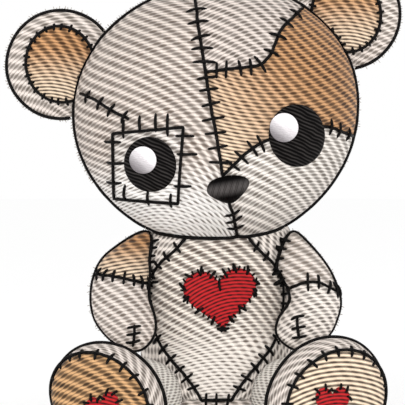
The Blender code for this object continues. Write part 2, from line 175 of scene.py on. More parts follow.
# place along the arm from shoulder (1) to paw (-1), sideways shift and half width in mm
armShape = {-1: [(1.0, -3.6, 12.5), (0.6, 6.2, 15.1), (0.3, 9.0, 15.8), (-0.1, 10.2, 15.9),
                 (-0.47, 7.2, 18.7), (-0.75, 4.2, 19.4), (-1.0, 1.7, 18.0)],
            1: [(1.0, 0.0, 9.0), (0.65, 2.4, 13.5), (0.42, 4.0, 15.6), (0.2, 7.8, 14.2),
                (-0.15, 11.2, 14.0), (-0.48, 6.8, 18.4), (-0.75, 4.2, 21.0), (-1.0, 4.0, 19.0)]}
armCurve = {side: curveThrough(shape) for side, shape in armShape.items()}
# elbow seams: shift outwards from the arm's middle line in mm, and place along the arm
elbowSeam = {-1: curveThrough([(-18, -0.02), (-4, 0.14), (10, 0.26), (24, 0.30), (36, 0.36)]),
             1: curveThrough([(-18, -0.3), (-4.1, 0.02), (0.7, 0.12), (8.3, 0.19), (13.6, 0.17),
                              (22.8, 0.02), (36, -0.2)])}


def armMiddle(side):
    halfWidth = torso["width"] / 2 * math.sqrt(1 - (arms["forward"] / (torso["depth"] / 2)) ** 2)
    return Vector((side * (halfWidth + arms["outset"]), -arms["forward"],
                   torso["height"] - arms["drop"] - arms["length"] / 2))


def armPoint(side, unit):
    place = min(max(unit.z, -1), 1)
    x = (side * armCurve[side](place) + armCurve[side](place, 2) * unit.x) * mm
    return armMiddle(side) + Vector((x, arms["lean"] * unit.z + arms["depth"] / 2 * unit.y,
                                     arms["length"] / 2 * unit.z))


legs = {"length": 97 * mm, "width": 45 * mm, "foot": {-1: (69 * mm, 58 * mm), 1: (72 * mm, 61 * mm)},
        "turn": math.radians(45), "corner": 6.0, "ankleStart": 0.1, "ankleEnd": 0.75, "hipSpread": 28 * mm,
        "hipHeight": 24 * mm, "hipBack": 1 * mm, "splay": math.radians(19.5), "seamPlace": 0.62,
        "press": 1.5 * mm, "edgeFrom": 0.66, "edgeTo": 0.9, "cuts": 40}


def legFrameOf(side):
    long, short = legs["foot"][side]
    ankle = math.hypot(long / 2 * math.sin(legs["turn"]), short / 2 * math.cos(legs["turn"]))
    rise = math.asin((ankle - legs["press"] - legs["hipHeight"]) / legs["length"])
    flat = math.cos(rise)
    out = Vector((side * math.sin(legs["splay"]) * flat, -math.cos(legs["splay"]) * flat, math.sin(rise)))
    across = Vector((0, 0, 1)).cross(out).normalized()
    hip = Vector((side * legs["hipSpread"], legs["hipBack"], legs["hipHeight"]))
    turned = Matrix((across, out.cross(across), out)).transposed().to_4x4()
    return Matrix.Translation(hip + out * legs["length"] / 2) @ turned


legFrame = {side: legFrameOf(side) for side in labelOf}
legBack = {side: legFrame[side].inverted() for side in labelOf}


def legEdge(side, along, around):
    # a point of the leg's cross section, where along runs from -1 at the hip to 1 at the sole
    ring = squared(along, legs["corner"]) if along > 0 else math.sqrt(max(1 - along ** 2, 0))
    flare = smoothStep((along - legs["ankleStart"]) / (legs["ankleEnd"] - legs["ankleStart"]))
    angle = math.atan2(around.y, around.x) - side * legs["turn"]
    long, short = legs["foot"][side]
    oval = Vector((long / 2 * math.cos(angle), short / 2 * math.sin(angle)))
    oval.rotate(Matrix.Rotation(side * legs["turn"], 2))
    return (around * legs["width"] / 2).lerp(oval, flare) * ring


def legPoint(side, unit):
    around = Vector((unit.x, unit.y))
    around = around.normalized() if around.length > 1e-6 else Vector((0, 0))
    edge = legEdge(side, min(max(unit.z, -1), 1), around) if around.length else around
    point = legFrame[side] @ Vector((edge.x, edge.y, legs["length"] / 2 * unit.z))
    return Vector((point.x, point.y, max(point.z, 0)))


def insideLeg(side, point, grow):
    local = legBack[side] @ point
    along = local.z / (legs["length"] / 2 + grow)
    around = Vector((local.x, local.y))
    if abs(along) >= 1 or around.length < 1e-6:
        return False
    return around.length < legEdge(side, along, around.normalized()).length + grow


ears = {"radius": 30 * mm, "thick": 14 * mm, "sewnIn": 16.6 * mm, "angle": math.radians(30), "back": 4 * mm,
        "pad": (37 * mm, 41 * mm), "padOut": 4 * mm, "padUneven": 0.012, "stitches": (26, 4.4 * mm),
        "cuts": 30}


def earOut(side):
    edge = Vector((side * math.cos(ears["angle"]) * head["width"] / 2, 0,
                   math.sin(ears["angle"]) * head["height"] / 2))
    return edge, edge.normalized()


def earFrameOf(side):
    edge, out = earOut(side)
    centre = edge + out * (ears["radius"] - ears["sewnIn"]) + Vector((0, ears["back"], 0))
    return headFrame @ Matrix.Translation(centre) @ Matrix.Rotation(math.radians(90), 4, "X")


earFrame = {side: earFrameOf(side) for side in labelOf}


def earPoint(side, unit):
    return earFrame[side] @ Vector((ears["radius"] * unit.x, ears["radius"] * unit.y,
                                    ears["thick"] / 2 * unit.z))


def slideClear(point, direction, inside, step=1.5 * mm, limit=120 * mm):
    # where cloth meets its neighbour it lies flat against it: slide a point until it is clear
    if not inside(point):
        return point
    far = step
    while inside(point + direction * far) and far < limit:
        far += step
    near = far - step
    for _ in range(6):
        half = (near + far) / 2
        near, far = (half, far) if inside(point + direction * half) else (near, half)
    return point + direction * far


def clearOf(*tests):
    return lambda point: any(test(point, cloth["gap"]) for test in tests)


def torsoPlaced(unit):
    return slideClear(torsoPoint(unit), Vector((0, 0, -1)), clearOf(insideHead))


def armPlaced(side):
    def place(unit):
        point = slideClear(armPoint(side, unit), Vector((side, 0, 0)), clearOf(insideTorso))
        point = slideClear(point, Vector((0, 0, -1)), clearOf(insideHead))
        return slideClear(point, Vector((0, 0, 1)), lambda p: insideLeg(side, p, cloth["gap"]))
    return place


def legPlaced(side):
    out = legFrame[side].to_3x3() @ Vector((0, 0, 1))
    return lambda unit: slideClear(legPoint(side, unit), out, clearOf(insideTorso))


def earPlaced(side):
    out = headFrame.to_3x3() @ earOut(side)[1]
    return lambda unit: slideClear(earPoint(side, unit), out, clearOf(insideHead))


# Seams on the head, in units of its half width and half height
midline = curveThrough([(1.1, -0.01), (0.3, -0.026), (-0.46, -0.035), (-0.8, -0.01), (-1.1, 0.003)])
crown = curveThrough([(-0.06, 0.322), (0.05, 0.317), (0.26, 0.3), (0.345, 0.306), (0.43, 0.37),
                      (0.535, 0.54), (0.68, 0.66), (0.9, 0.82)])
cheek = curveThrough([(-0.08, -0.492), (0.03, -0.41), (0.18, -0.306), (0.32, -0.26), (0.53, -0.243),
                      (0.72, -0.233), (0.88, -0.33), (1.15, -0.46)])
# Belly seam: height above the seat and half width, in mm
belly = curveThrough([(125, 8), (110, 18.5), (98, 31), (89, 36), (79, 37.2), (66, 36), (55, 31.5),
                      (46, 24.5), (36, 15.5), (20, 5)])


def headPanel(unit):
    x = unit.x * (1 + head["brow"] * unit.z)
    left = x < midline(unit.z)
    if unit.y > 0:
        return "head_back_left" if left else "head_back_right"
    if left:
        return "face_left_panel"
    if unit.z > crown(x):
        return "crown_panel"
    return "cheek_panel" if unit.z < cheek(x) else "face_brown_panel"


def onHead(x, z, back=False):
    # a point of the unit ball from its place in the front view
    x = x / (1 + head["brow"] * z)
    left = 1 - x * x - z * z
    if left <= 0:
        return Vector((x, 0, z)).normalized()
    return Vector((x, math.sqrt(left) if back else -math.sqrt(left), z))


def headSnap(unit, names):
    back = [name for name in names if "back" in name]
    x, z = unit.x * (1 + head["brow"] * unit.z), unit.z
    if {"crown_panel", "face_brown_panel"} <= names:
        z = crown(x)
    if {"cheek_panel", "face_brown_panel"} <= names:
        z = cheek(x)
    if names & {"face_left_panel", "head_back_left"} and names - {"face_left_panel", "head_back_left"}:
        x = midline(z)
    if back and len(back) < len(names):
        return Vector((x / (1 + head["brow"] * z), 0, z)).normalized()
    return onHead(x, z, bool(back))


def torsoPanel(unit):
    point = torsoPoint(unit)
    if point.z < torso["seatSeam"]:
        return "seat_panel"
    if point.y > torso["sideSeam"]:
        return "body_back_left" if point.x < 0 else "body_back_right"
    if abs(point.x) < belly(point.z / mm) * mm and point.y < 0:
        return "belly_panel"
    return "body_side_left" if point.x < 0 else "body_side_right"


def onTorso(x=None, y=None, z=0, back=False):
    # a point of the unit ball for a place on the torso's side, given its height and its x or its y
    wide, deep = torsoSpan(z)
    if y is None:
        turn = math.acos(min(max(x / wide, -1), 1))
        turn = turn if back else -turn
    else:
        turn = math.asin(min(max(y / deep, -1), 1))
        turn = turn if x is None or x >= 0 else math.pi - turn
    along = (z - torsoMiddle) / torsoHalf
    flat = math.sqrt(max(1 - along * along, 0))
    return Vector((flat * math.cos(turn), flat * math.sin(turn), along))


def torsoSnap(unit, names):
    point = torsoPoint(unit)
    height = point.z
    if "seat_panel" in names:
        height = torso["seatSeam"]
    others = names - {"seat_panel"}
    if not others or height > torso["height"] - 2 * mm:
        return unit
    if "belly_panel" in others and len(others) > 1:
        return onTorso(x=math.copysign(belly(height / mm) * mm, point.x), z=height)
    if {"body_back_left", "body_back_right"} <= others:
        return onTorso(x=0, z=height, back=True)
    if len(others) > 1:
        return onTorso(x=point.x, y=torso["sideSeam"], z=height)
    along = (height - torsoMiddle) / torsoHalf
    around = Vector((unit.x, unit.y)).normalized() * math.sqrt(1 - along * along)
    return Vector((around.x, around.y, along))


def armPanel(side):
    def panel(unit):
        shift = (armPoint(side, unit).x - armMiddle(side).x) * side / mm
        return "arm_" + labelOf[side] + ("_upper" if unit.z > elbowSeam[side](shift) else "_lower")
    return panel


def elbowUnit(side, turn):
    unit = Vector((math.cos(turn), math.sin(turn), 0))
    for _ in range(8):
        shift = (armPoint(side, unit).x - armMiddle(side).x) * side / mm
        along = elbowSeam[side](shift)
        flat = math.sqrt(1 - along * along)
        unit = Vector((flat * math.cos(turn), flat * math.sin(turn), along))
    return unit


def elbowSnap(side):
    return lambda unit, names: elbowUnit(side, math.atan2(unit.y, unit.x))


def legPanel(side):
    return lambda unit: ("foot_" if unit.z > legs["seamPlace"] else "leg_") + labelOf[side]


def legSnap(unit, names):
    # the foot's seam is one ring round the leg
    around = Vector((unit.x, unit.y)).normalized() * math.sqrt(1 - legs["seamPlace"] ** 2)
    return Vector((around.x, around.y, legs["seamPlace"]))


# Rows of thread. Each piece's rows are arcs round a centre below it, or above it where it is marked so,
# all in mm in the piece's own front view; dashes line up about a centre further away.
rows = {
    "face_left_panel": {"centre": (-21, -79), "middle": (-35, 0), "lower": ((-44, -82), 12, -48)},
    "crown_panel": {"centre": (25, -22), "middle": (20, 45)},
    "face_brown_panel": {"centre": (50, 103), "middle": (38, 5), "above": True},
    "cheek_panel": {"centre": (33, -104), "middle": (35, -35)},
    "head_back_left": {"centre": (-6, -90), "middle": (-35, 0)},
    "head_back_right": {"centre": (6, -90), "middle": (35, 0)},
    "eye_patch": {"centre": (-21, -79), "middle": (-39, -23), "lower": ((-44, -82), 12, -48)},
    "belly_panel": {"centre": (19, -12), "middle": (0, 75), "lower": ((3, -14), 62, 44)},
    "body_side_left": {"centre": (38, 46), "middle": (-38, 90)},
    "body_side_right": {"centre": (-38, 46), "middle": (38, 90)},
    "body_back_left": {"centre": (-4, -40), "middle": (-20, 70)},
    "body_back_right": {"centre": (4, -40), "middle": (20, 70)},
    "seat_panel": {"centre": (0, -90), "middle": (0, 10)},
    "arm_left": {"centre": (-38, 22), "middle": (-45, 83)},
    "arm_right": {"centre": (58, 32), "middle": (48, 83)},
    "ear_left": {"centre": (1, -37), "middle": (0, 0)},
    "ear_right": {"centre": (27, -74), "middle": (0, 0)},
    "ear_left_pad": {"centre": (-16, -50), "middle": (0, 0)},
    "ear_right_pad": {"centre": (-12, -56), "middle": (0, 0)},
    "sole_left_pad": {"centre": (16, -46), "middle": (0, 0)},
    "sole_right_pad": {"centre": (2, -52), "middle": (0, 0)},
    "belly_heart": {"centre": (12, 46), "middle": (2, 78)},
    "sole_left_heart": {"centre": (0, -30), "middle": (3, -4)},
    "sole_right_heart": {"centre": (0, -30), "middle": (-2, -2)},
    "eye_left": {"centre": (-148, -188), "middle": (-39, -20)},
    "eye_right": {"centre": (-70, -186), "middle": (39, -18)},
    "eye_left_glint": {"centre": (-120, -204), "middle": (-42, -17)},
    "eye_right_glint": {"centre": (-40, -200), "middle": (33, -13)},
    "nose": {"centre": (-300, -60), "middle": (0, -40)},
}
dashReach = 2.2  # how much further away that other centre is
# How far the rows follow the round of each form instead of lying flat in its front view
follow = {"headAlong": 0.25, "headReach": 1.1, "headAbove": 0.5, "headBelow": 0.15, "torso": 0.6,
          "arm": 0.6, "footTurn": 0.8, "footLength": 0.55, "legLength": 0.4, "legRadius": 27}


def rowPlace(piece, x, z):
    # how far along its row and across the rows a place lies, in mm
    sort = rows[piece]
    centre, middle = Vector(sort["centre"]), Vector(sort["middle"])
    sign = -1 if sort.get("above") else 1
    far = middle + (centre - middle) * dashReach
    across = sign * (Vector((x, z)) - centre).length
    if "lower" in sort:
        # lower down, the arcs go round another centre
        other, start, end = sort["lower"]
        share = smoothStep((z - start) / (end - start))
        across += share * ((Vector((x, z)) - Vector(other)).length - across)
    off = Vector((x, z)) - far
    lean = middle - far
    turn = math.atan2(off.x, sign * off.y) - math.atan2(lean.x, sign * lean.y)
    return turn * lean.length, across


def headRows(piece, point, unit):
    local = headBack @ point
    x, z = local.x / mm, local.z / mm
    along, across = rowPlace(piece, x, z)
    halfWidth = head["width"] / 2 / mm * math.sqrt(max(1 - min(abs(unit.z), 0.999) ** 2, 0)) + 0.5
    share = min(max(x / halfWidth, -1), 1)
    along += follow["headAlong"] * (halfWidth * math.asin(share) - x)
    reach = follow["headReach"] * head["height"] / 2 / mm
    zero = rowPlace(piece, 0, 0)[1]
    share = min(max((across - zero) / reach, -1), 1)
    bend = follow["headAbove"] if share > 0 else follow["headBelow"]
    return along, zero + reach * (share + bend * (math.asin(share) - share))


def torsoRows(piece, point, unit):
    along, across = rowPlace(piece, point.x / mm, point.z / mm)
    wide = torsoSpan(min(max(point.z, 0), 120 * mm))[0] / mm + 0.5
    share = min(max(point.x / mm / wide, -1), 1)
    return along + follow["torso"] * (wide * math.asin(share) - point.x / mm), across


def armRows(side):
    def place(piece, point, unit):
        along, across = rowPlace("arm_" + labelOf[side], point.x / mm, point.z / mm)
        wide = armCurve[side](min(max(unit.z, -1), 1), 2) * math.sqrt(max(1 - unit.z ** 2, 0)) + 0.5
        share = unit.x / math.hypot(unit.x, unit.y, 1e-6)
        return along + follow["arm"] * wide * (math.asin(share) - share), across
    return place


def legRows(side):
    def place(piece, point, unit):
        if piece.startswith("leg_"):
            # the rows run along the leg, and end on a row at the top and at the bottom of it
            turn = abs(math.atan2(unit.x, -unit.y))
            return follow["legLength"] * legs["length"] / mm * unit.z, follow["legRadius"] * turn
        ring = squared(unit.z, legs["corner"]) if unit.z > 0 else math.sqrt(max(1 - unit.z ** 2, 0))
        reach = legs["foot"][side][0] / 2 / mm
        back = follow["footLength"] * legs["length"] / 2 / mm * (1 - unit.z)
        return math.atan2(unit.y, unit.x) * reach * follow["footTurn"], -(reach * ring + back)
    return place


def earRows(side):
    reach = ears["radius"] / mm
    return lambda piece, point, unit: rowPlace("ear_" + labelOf[side], reach * unit.x, reach * unit.y)


def linear(hexText):
    # an sRGB hex colour as linear red, green, blue and alpha
    parts = [int(hexText[i:i + 2], 16) / 255 for i in (0, 2, 4)]
    return tuple(p / 12.92 if p < 0.04045 else ((p + 0.055) / 1.055) ** 2.4 for p in parts) + (1,)


def addNode(tree, kind, links, **settings):
    node = tree.nodes.new(kind)
    for key, value in settings.items():
        setattr(node, key, value)
    for socket, value in links.items():
        if isinstance(value, bpy.types.Node):
            value = value.outputs[0]
        if isinstance(value, bpy.types.NodeSocket):
            tree.links.new(value, node.inputs[socket])
        else:
            node.inputs[socket].default_value = value
    return node


def newMaterial(name, roughness, sheen=0.0, specular=0.3):
    material = bpy.data.materials.new(name)
    material.use_nodes = True
    shader = material.node_tree.nodes["Principled BSDF"]
    shader.inputs["Roughness"].default_value = roughness
    shader.inputs["Specular IOR Level"].default_value = specular
    shader.inputs["Sheen Weight"].default_value = sheen
    shader.inputs["Sheen Roughness"].default_value = 0.5
    return material, material.node_tree, shader


# Coarse cotton worked all over in rows of soft thread: rounded pale threads side by side, with dark
# tapered dashes between them where the needle went down, each row's a quarter step on from the last.
rowLook = {"pitch": 1.86, "period": 6.3, "shift": 0.28, "dashLong": 0.38, "dashWide": 0.46, "deep": 0.97,
           "uneven": 0.4, "soft": 0.3, "waver": 0.5, "valley": 0.24, "band": 0.5, "lines": 0.0}
# Wear over the rows: real sizes, and each tint as the range of its noise and the brightness that gives.
# Fibres are far finer than their 1.1 by 0.2 mm, and are drawn that coarse so that they show.
wear = {"spotSize": 9.0909 * mm, "fibreTint": (0.3, 0.7, 0.82, 1.1), "fibresPerMm": (0.9, 5.0, 1.0),
        "grimeSize": 31.25 * mm, "grimeTint": (0.35, 0.75, 1.0, 0.9), "rowTint": (0.0, 1.0, 0.96, 1.02),
        "plyStep": 1.496 * mm, "lintSize": 1.1111 * mm, "tuftSize": 6.25 * mm}


def threadRows(piece, light, dash, slot, fade=None, roughness=0.85, sheen=0.1, specular=0.2, relief=0.6,
               **own):
    look = {**rowLook, **own}
    material, tree, shader = newMaterial(slot + "_of_" + piece, roughness, sheen, specular)

    def add(kind, links, **settings):
        return addNode(tree, kind, links, **settings)

    def bounds(fromMin, fromMax, toMin, toMax):
        return {"From Min": fromMin, "From Max": fromMax, "To Min": toMin, "To Max": toMax}

    place = add("ShaderNodeTexCoord", {}).outputs["Object"]
    rowMap = add("ShaderNodeUVMap", {}, uv_map="rows")
    flat = add("ShaderNodeSeparateXYZ", {0: rowMap})
    uneven = add("ShaderNodeTexNoise", {"Vector": place, "Scale": 1 / wear["spotSize"], "Detail": 1.0})
    waver = add("ShaderNodeMath", {0: uneven, 1: look["waver"], 2: flat.outputs[1]},
                operation="MULTIPLY_ADD")
    rowAt = add("ShaderNodeMath", {0: waver, 1: look["pitch"]}, operation="DIVIDE")
    row = add("ShaderNodeMath", {0: rowAt}, operation="FLOOR")
    inRow = add("ShaderNodeMath", {0: rowAt}, operation="FRACT")
    across = add("ShaderNodeMath", {0: inRow, 1: 0.5}, operation="SUBTRACT")
    fromDash = add("ShaderNodeMath", {0: across}, operation="ABSOLUTE")
    rowChance = add("ShaderNodeTexWhiteNoise", {"W": row}, noise_dimensions="1D")
    steps = add("ShaderNodeMath", {0: row, 1: look["shift"]}, operation="MULTIPLY")
    steps = add("ShaderNodeMath", {0: rowChance, 1: 0.1, 2: steps}, operation="MULTIPLY_ADD")
    phase = add("ShaderNodeMath", {0: flat.outputs[0], 1: 1 / look["period"], 2: steps},
                operation="MULTIPLY_ADD")
    dashAt = add("ShaderNodeMath", {0: phase}, operation="FLOOR")
    along = add("ShaderNodeMath", {0: phase}, operation="FRACT")
    along = add("ShaderNodeMath", {0: along, 1: 0.5}, operation="SUBTRACT")
    both = add("ShaderNodeCombineXYZ", {0: row, 1: dashAt})
    dashChance = add("ShaderNodeTexWhiteNoise", {"Vector": both}, noise_dimensions="2D")
    halfLong = add("ShaderNodeMath", {0: dashChance, 1: 0.07, 2: look["dashLong"] - 0.035},
                   operation="MULTIPLY_ADD")
    share = add("ShaderNodeMath", {0: along, 1: halfLong}, operation="DIVIDE")
    square = add("ShaderNodeMath", {0: share, 1: share}, operation="MULTIPLY")
    taper = add("ShaderNodeMath", {0: 1.0, 1: square}, operation="SUBTRACT", use_clamp=True)
    # in its faded part, or all over where it has no fade, a cloth can show long bare rows; its dashes there
    # are narrow and crisp, with less banding
    amount = 1.0 if look["lines"] else 0.0
    # a fade is worn colour on the brown patches; on the lower face it is painted light, on the nose a
    # painted sheen band, on the glints painted shade
    if fade:
        axis = Vector(fade["along"]).normalized()
        reach = add("ShaderNodeVectorMath", {0: place, 1: tuple(axis)}, operation="DOT_PRODUCT")
        reach = reach.outputs["Value"]
        if "around" in fade:
            reach = add("ShaderNodeMath", {0: reach, 1: fade["around"]}, operation="SUBTRACT")
            reach = add("ShaderNodeMath", {0: reach}, operation="ABSOLUTE")
        amount = add("ShaderNodeMapRange", {"Value": reach, **bounds(fade["start"], fade["end"], 0.0, 1.0)},
                     interpolation_type="SMOOTHSTEP")
    wide = add("ShaderNodeMath", {0: amount, 1: -0.25 * look["dashWide"], 2: look["dashWide"]},
               operation="MULTIPLY_ADD")
    inDash = add("ShaderNodeMath", {0: taper, 1: wide}, operation="MULTIPLY")
    inDash = add("ShaderNodeMath", {0: inDash, 1: fromDash}, operation="SUBTRACT")
    softLow = add("ShaderNodeMath", {0: amount, 1: 0.65 * look["soft"], 2: -look["soft"]},
                  operation="MULTIPLY_ADD")
    dashMask = add("ShaderNodeMapRange", {"Value": inDash, **bounds(softLow, 0.3, 0.0, 1.0)},
                   interpolation_type="SMOOTHSTEP")
    deep = add("ShaderNodeMath", {0: dashChance, 1: -look["deep"] * look["uneven"], 2: look["deep"]},
               operation="MULTIPLY_ADD")
    dashMask = add("ShaderNodeMath", {0: dashMask, 1: deep}, operation="MULTIPLY")
    lineMask = add("ShaderNodeMapRange", {"Value": fromDash, **bounds(0.1, 0.42, 0.94, 0.0)},
                   interpolation_type="SMOOTHSTEP")
    lines = add("ShaderNodeMath", {0: amount, 1: look["lines"]}, operation="MULTIPLY")
    dashMask = add("ShaderNodeMix", {0: lines, 2: dashMask, 3: lineMask})
    bandLow = add("ShaderNodeMath", {0: amount, 1: 0.7 * look["band"], 2: 1 - look["band"]},
                  operation="MULTIPLY_ADD")
    # the threads stand in each other's shade, along every needle line and in the band between dashes
    valley = add("ShaderNodeMapRange", {"Value": fromDash, **bounds(0.0, 0.25, 1 - look["valley"], 1.0)},
                 interpolation_type="SMOOTHSTEP")
    level = add("ShaderNodeMath", {0: rowAt, 1: 0.5}, operation="SUBTRACT")
    drift = add("ShaderNodeMath", {0: level, 1: look["shift"], 2: 0.05}, operation="MULTIPLY_ADD")
    drift = add("ShaderNodeMath", {0: flat.outputs[0], 1: 1 / look["period"], 2: drift},
                operation="MULTIPLY_ADD")
    swing = add("ShaderNodeMath", {0: drift, 1: 2 * math.pi}, operation="MULTIPLY")
    swing = add("ShaderNodeMath", {0: swing}, operation="COSINE")
    band = add("ShaderNodeMapRange", {"Value": swing, **bounds(-1.0, 1.0, bandLow, 1.0)})
    # fine fibres run along each thread, and wear and grime come in soft patches
    fibrePlace = add("ShaderNodeVectorMath", {0: rowMap, 1: wear["fibresPerMm"]}, operation="MULTIPLY")
    fibres = add("ShaderNodeTexNoise", {"Vector": fibrePlace, "Scale": 1.0, "Detail": 2.0})
    grime = add("ShaderNodeTexNoise", {"Vector": place, "Scale": 1 / wear["grimeSize"], "Detail": 3.0,
                                       "Roughness": 0.6})
    colours = [linear(light), linear(dash)]
    if fade:
        wearAndPaintedLightColours = [linear(fade["light"]), linear(fade["dash"])]
        colours = [add("ShaderNodeMix", {0: amount, 6: new, 7: old}, data_type="RGBA").outputs[2]
                   for new, old in zip(colours, wearAndPaintedLightColours)]
    tint = add("ShaderNodeMapRange", {"Value": fibres, **bounds(*wear["fibreTint"])})
    dirt = add("ShaderNodeMapRange", {"Value": grime, **bounds(*wear["grimeTint"])})
    rowTint = add("ShaderNodeMapRange", {"Value": rowChance, **bounds(*wear["rowTint"])})
    for shade in (dirt, rowTint, valley, band):
        tint = add("ShaderNodeMath", {0: tint, 1: shade}, operation="MULTIPLY")
    colour = add("ShaderNodeMix", {0: dashMask, 6: colours[0], 7: colours[1]}, data_type="RGBA").outputs[2]
    colour = add("ShaderNodeVectorMath", {0: colour, "Scale": tint}, operation="SCALE")
    tree.links.new(colour.outputs[0], shader.inputs["Base Color"])
    # relief: a rounded thread between two needle lines, pressed in at the dashes
    side = add("ShaderNodeMath", {0: fromDash, 1: -2.0, 2: 1.0}, operation="MULTIPLY_ADD")
    side = add("ShaderNodeMath", {0: side, 1: side}, operation="MULTIPLY")
    height = add("ShaderNodeMath", {0: 1.0, 1: side}, operation="SUBTRACT")
    height = add("ShaderNodeMath", {0: dashMask, 1: -0.6, 2: height}, operation="MULTIPLY_ADD")
    height = add("ShaderNodeMath", {0: fibres, 1: 0.25, 2: height}, operation="MULTIPLY_ADD")
    bump = add("ShaderNodeBump", {"Height": height, "Strength": relief, "Distance": 0.5 * mm})
    tree.links.new(bump.outputs[0], shader.inputs["Normal"])
    return material


def twistedThread(name, colour, roughness=0.5):
    # heavy black sewing thread: plies twisted together, with a dull satin gleam and a little lint
    material, tree, shader = newMaterial(name, roughness, 0.0, 0.06)
    place = addNode(tree, "ShaderNodeTexCoord", {}).outputs["Object"]
    # a wave's step along an axis is a tenth of a turn over its scale
    plies = addNode(tree, "ShaderNodeTexWave", {"Vector": place, "Scale": math.tau / 10 / wear["plyStep"],
                                                "Distortion": 2.0, "Detail": 1.0},
                    bands_direction="DIAGONAL")
    lint = addNode(tree, "ShaderNodeTexNoise", {"Vector": place, "Scale": 1 / wear["lintSize"],
                                                "Detail": 2.0})
    worn = addNode(tree, "ShaderNodeMapRange", {"Value": lint, "From Min": 0.55, "From Max": 0.85,
                                                "To Max": 0.2})
    mixed = addNode(tree, "ShaderNodeMix", {0: worn, 6: linear(colour), 7: linear("5a5450")},
                    data_type="RGBA")
    tree.links.new(mixed.outputs[2], shader.inputs["Base Color"])
    bump = addNode(tree, "ShaderNodeBump", {"Height": plies, "Strength": 0.5, "Distance": 0.25 * mm})
    tree.links.new(bump.outputs[0], shader.inputs["Normal"])
    return material


def carded(name):
    # loose wool fill, not seen: soft matt tufts
    material, tree, shader = newMaterial(name, 0.95, 0.2, 0.2)
    place = addNode(tree, "ShaderNodeTexCoord", {}).outputs["Object"]
    tufts = addNode(tree, "ShaderNodeTexNoise", {"Vector": place, "Scale": 1 / wear["tuftSize"],
                                                 "Detail": 4.0})
    mixed = addNode(tree, "ShaderNodeMix", {0: tufts, 6: linear("d8d2c6"), 7: linear("f4f0e8")},
                    data_type="RGBA")
    tree.links.new(mixed.outputs[2], shader.inputs["Base Color"])
    bump = addNode(tree, "ShaderNodeBump", {"Height": tufts, "Strength": 0.6, "Distance": 1.5 * mm})
    tree.links.new(bump.outputs[0], shader.inputs["Normal"])
    return material


# In each cloth, light is the thread on top and dash the shade where the needle went down.
# Cream cotton, warm with age, gives the eye most of the bear.
cream = {"light": "ebded4", "dash": "928073", "slot": "worn_cream_cloth"}
# Pale cotton, washed soft, keeps the ears, crown and feet quiet beside the brown.
pale = {"light": "eee2d9", "dash": "918478", "slot": "pale_cream_cloth", "band": 0.38, "soft": 0.22}
# Paler cotton yet, on the bear's sides and lower right arm, with dark crisp dashes; part of that paleness
# is painted light
palest = {**pale, "light": "f6ece3", "dash": "6c6259", "band": 0.28, "dashWide": 0.43, "soft": 0.15}
# Cotton nearly white and smooth on the thighs: partly its own pale tone, partly painted light where the
# thighs lie in shade between the belly, arms and feet
thighWhiteWithPaintedLight = {**palest, "light": "fffaf2", "dash": "918478", "band": 0.12}
# Brown cotton, its dark needle lines open where it is worn; the patches that the eye meets first
brown = {"light": "d29e6e", "dash": "512f16", "slot": "brown_cloth", "lines": 0.75}
# What wear leaves of the brown: bare cream threads over dark lines
faded = {"light": "fde4c7", "dash": "27140a"}
# Cream going to white low on the face: partly the cloth's own tone, partly painted light where the chin
# lies in shade
whiteWithPaintedLight = {"light": "fefaf6", "dash": "7b6f64"}
# Red felt, sewn over in close rows; the one strong colour
red = {"light": "c42126", "dash": "120304", "slot": "red_felt", "period": 5.2, "band": 0.2, "lines": 0.6,
       "valley": 0.4}
# Satin thread laid side by side, smoother than the cotton, with a dull gleam
satin = {"roughness": 0.4, "sheen": 0.0, "specular": 0.22, "relief": 0.5, "valley": 0.0, "band": 0.0,
         "deep": 1.0, "uneven": 0.0}
# Black satin thread, the darkest thing on the bear; its few grey lines are painted sheen along the threads
eyeBlack = {**satin, "light": "080707", "dash": "4c4846", "slot": "black_satin_thread", "pitch": 1.75,
            "period": 15.0, "dashLong": 0.47, "dashWide": 0.12, "specular": 0.02, "waver": 1.5,
            "uneven": 0.3}
# White satin thread, a cool light in each eye, and its shaded side
glint = {**satin, "light": "f7f2f4", "dash": "ebe5e8", "slot": "white_satin_thread", "pitch": 1.1,
         "relief": 0.2, "specular": 0.2}
glintShade = {"light": "807a7d", "dash": "787275"}


def fadeDown(start, end, colours, along=(0, 0, -1), **own):
    # change to other colours between two places down the piece, in metres along a direction: worn colour on
    # the brown patches, painted light on the lower face, a painted sheen on the nose and painted shade on
    # the glints
    return {"fade": {"along": along, "start": start, "end": end, **colours, **own}}


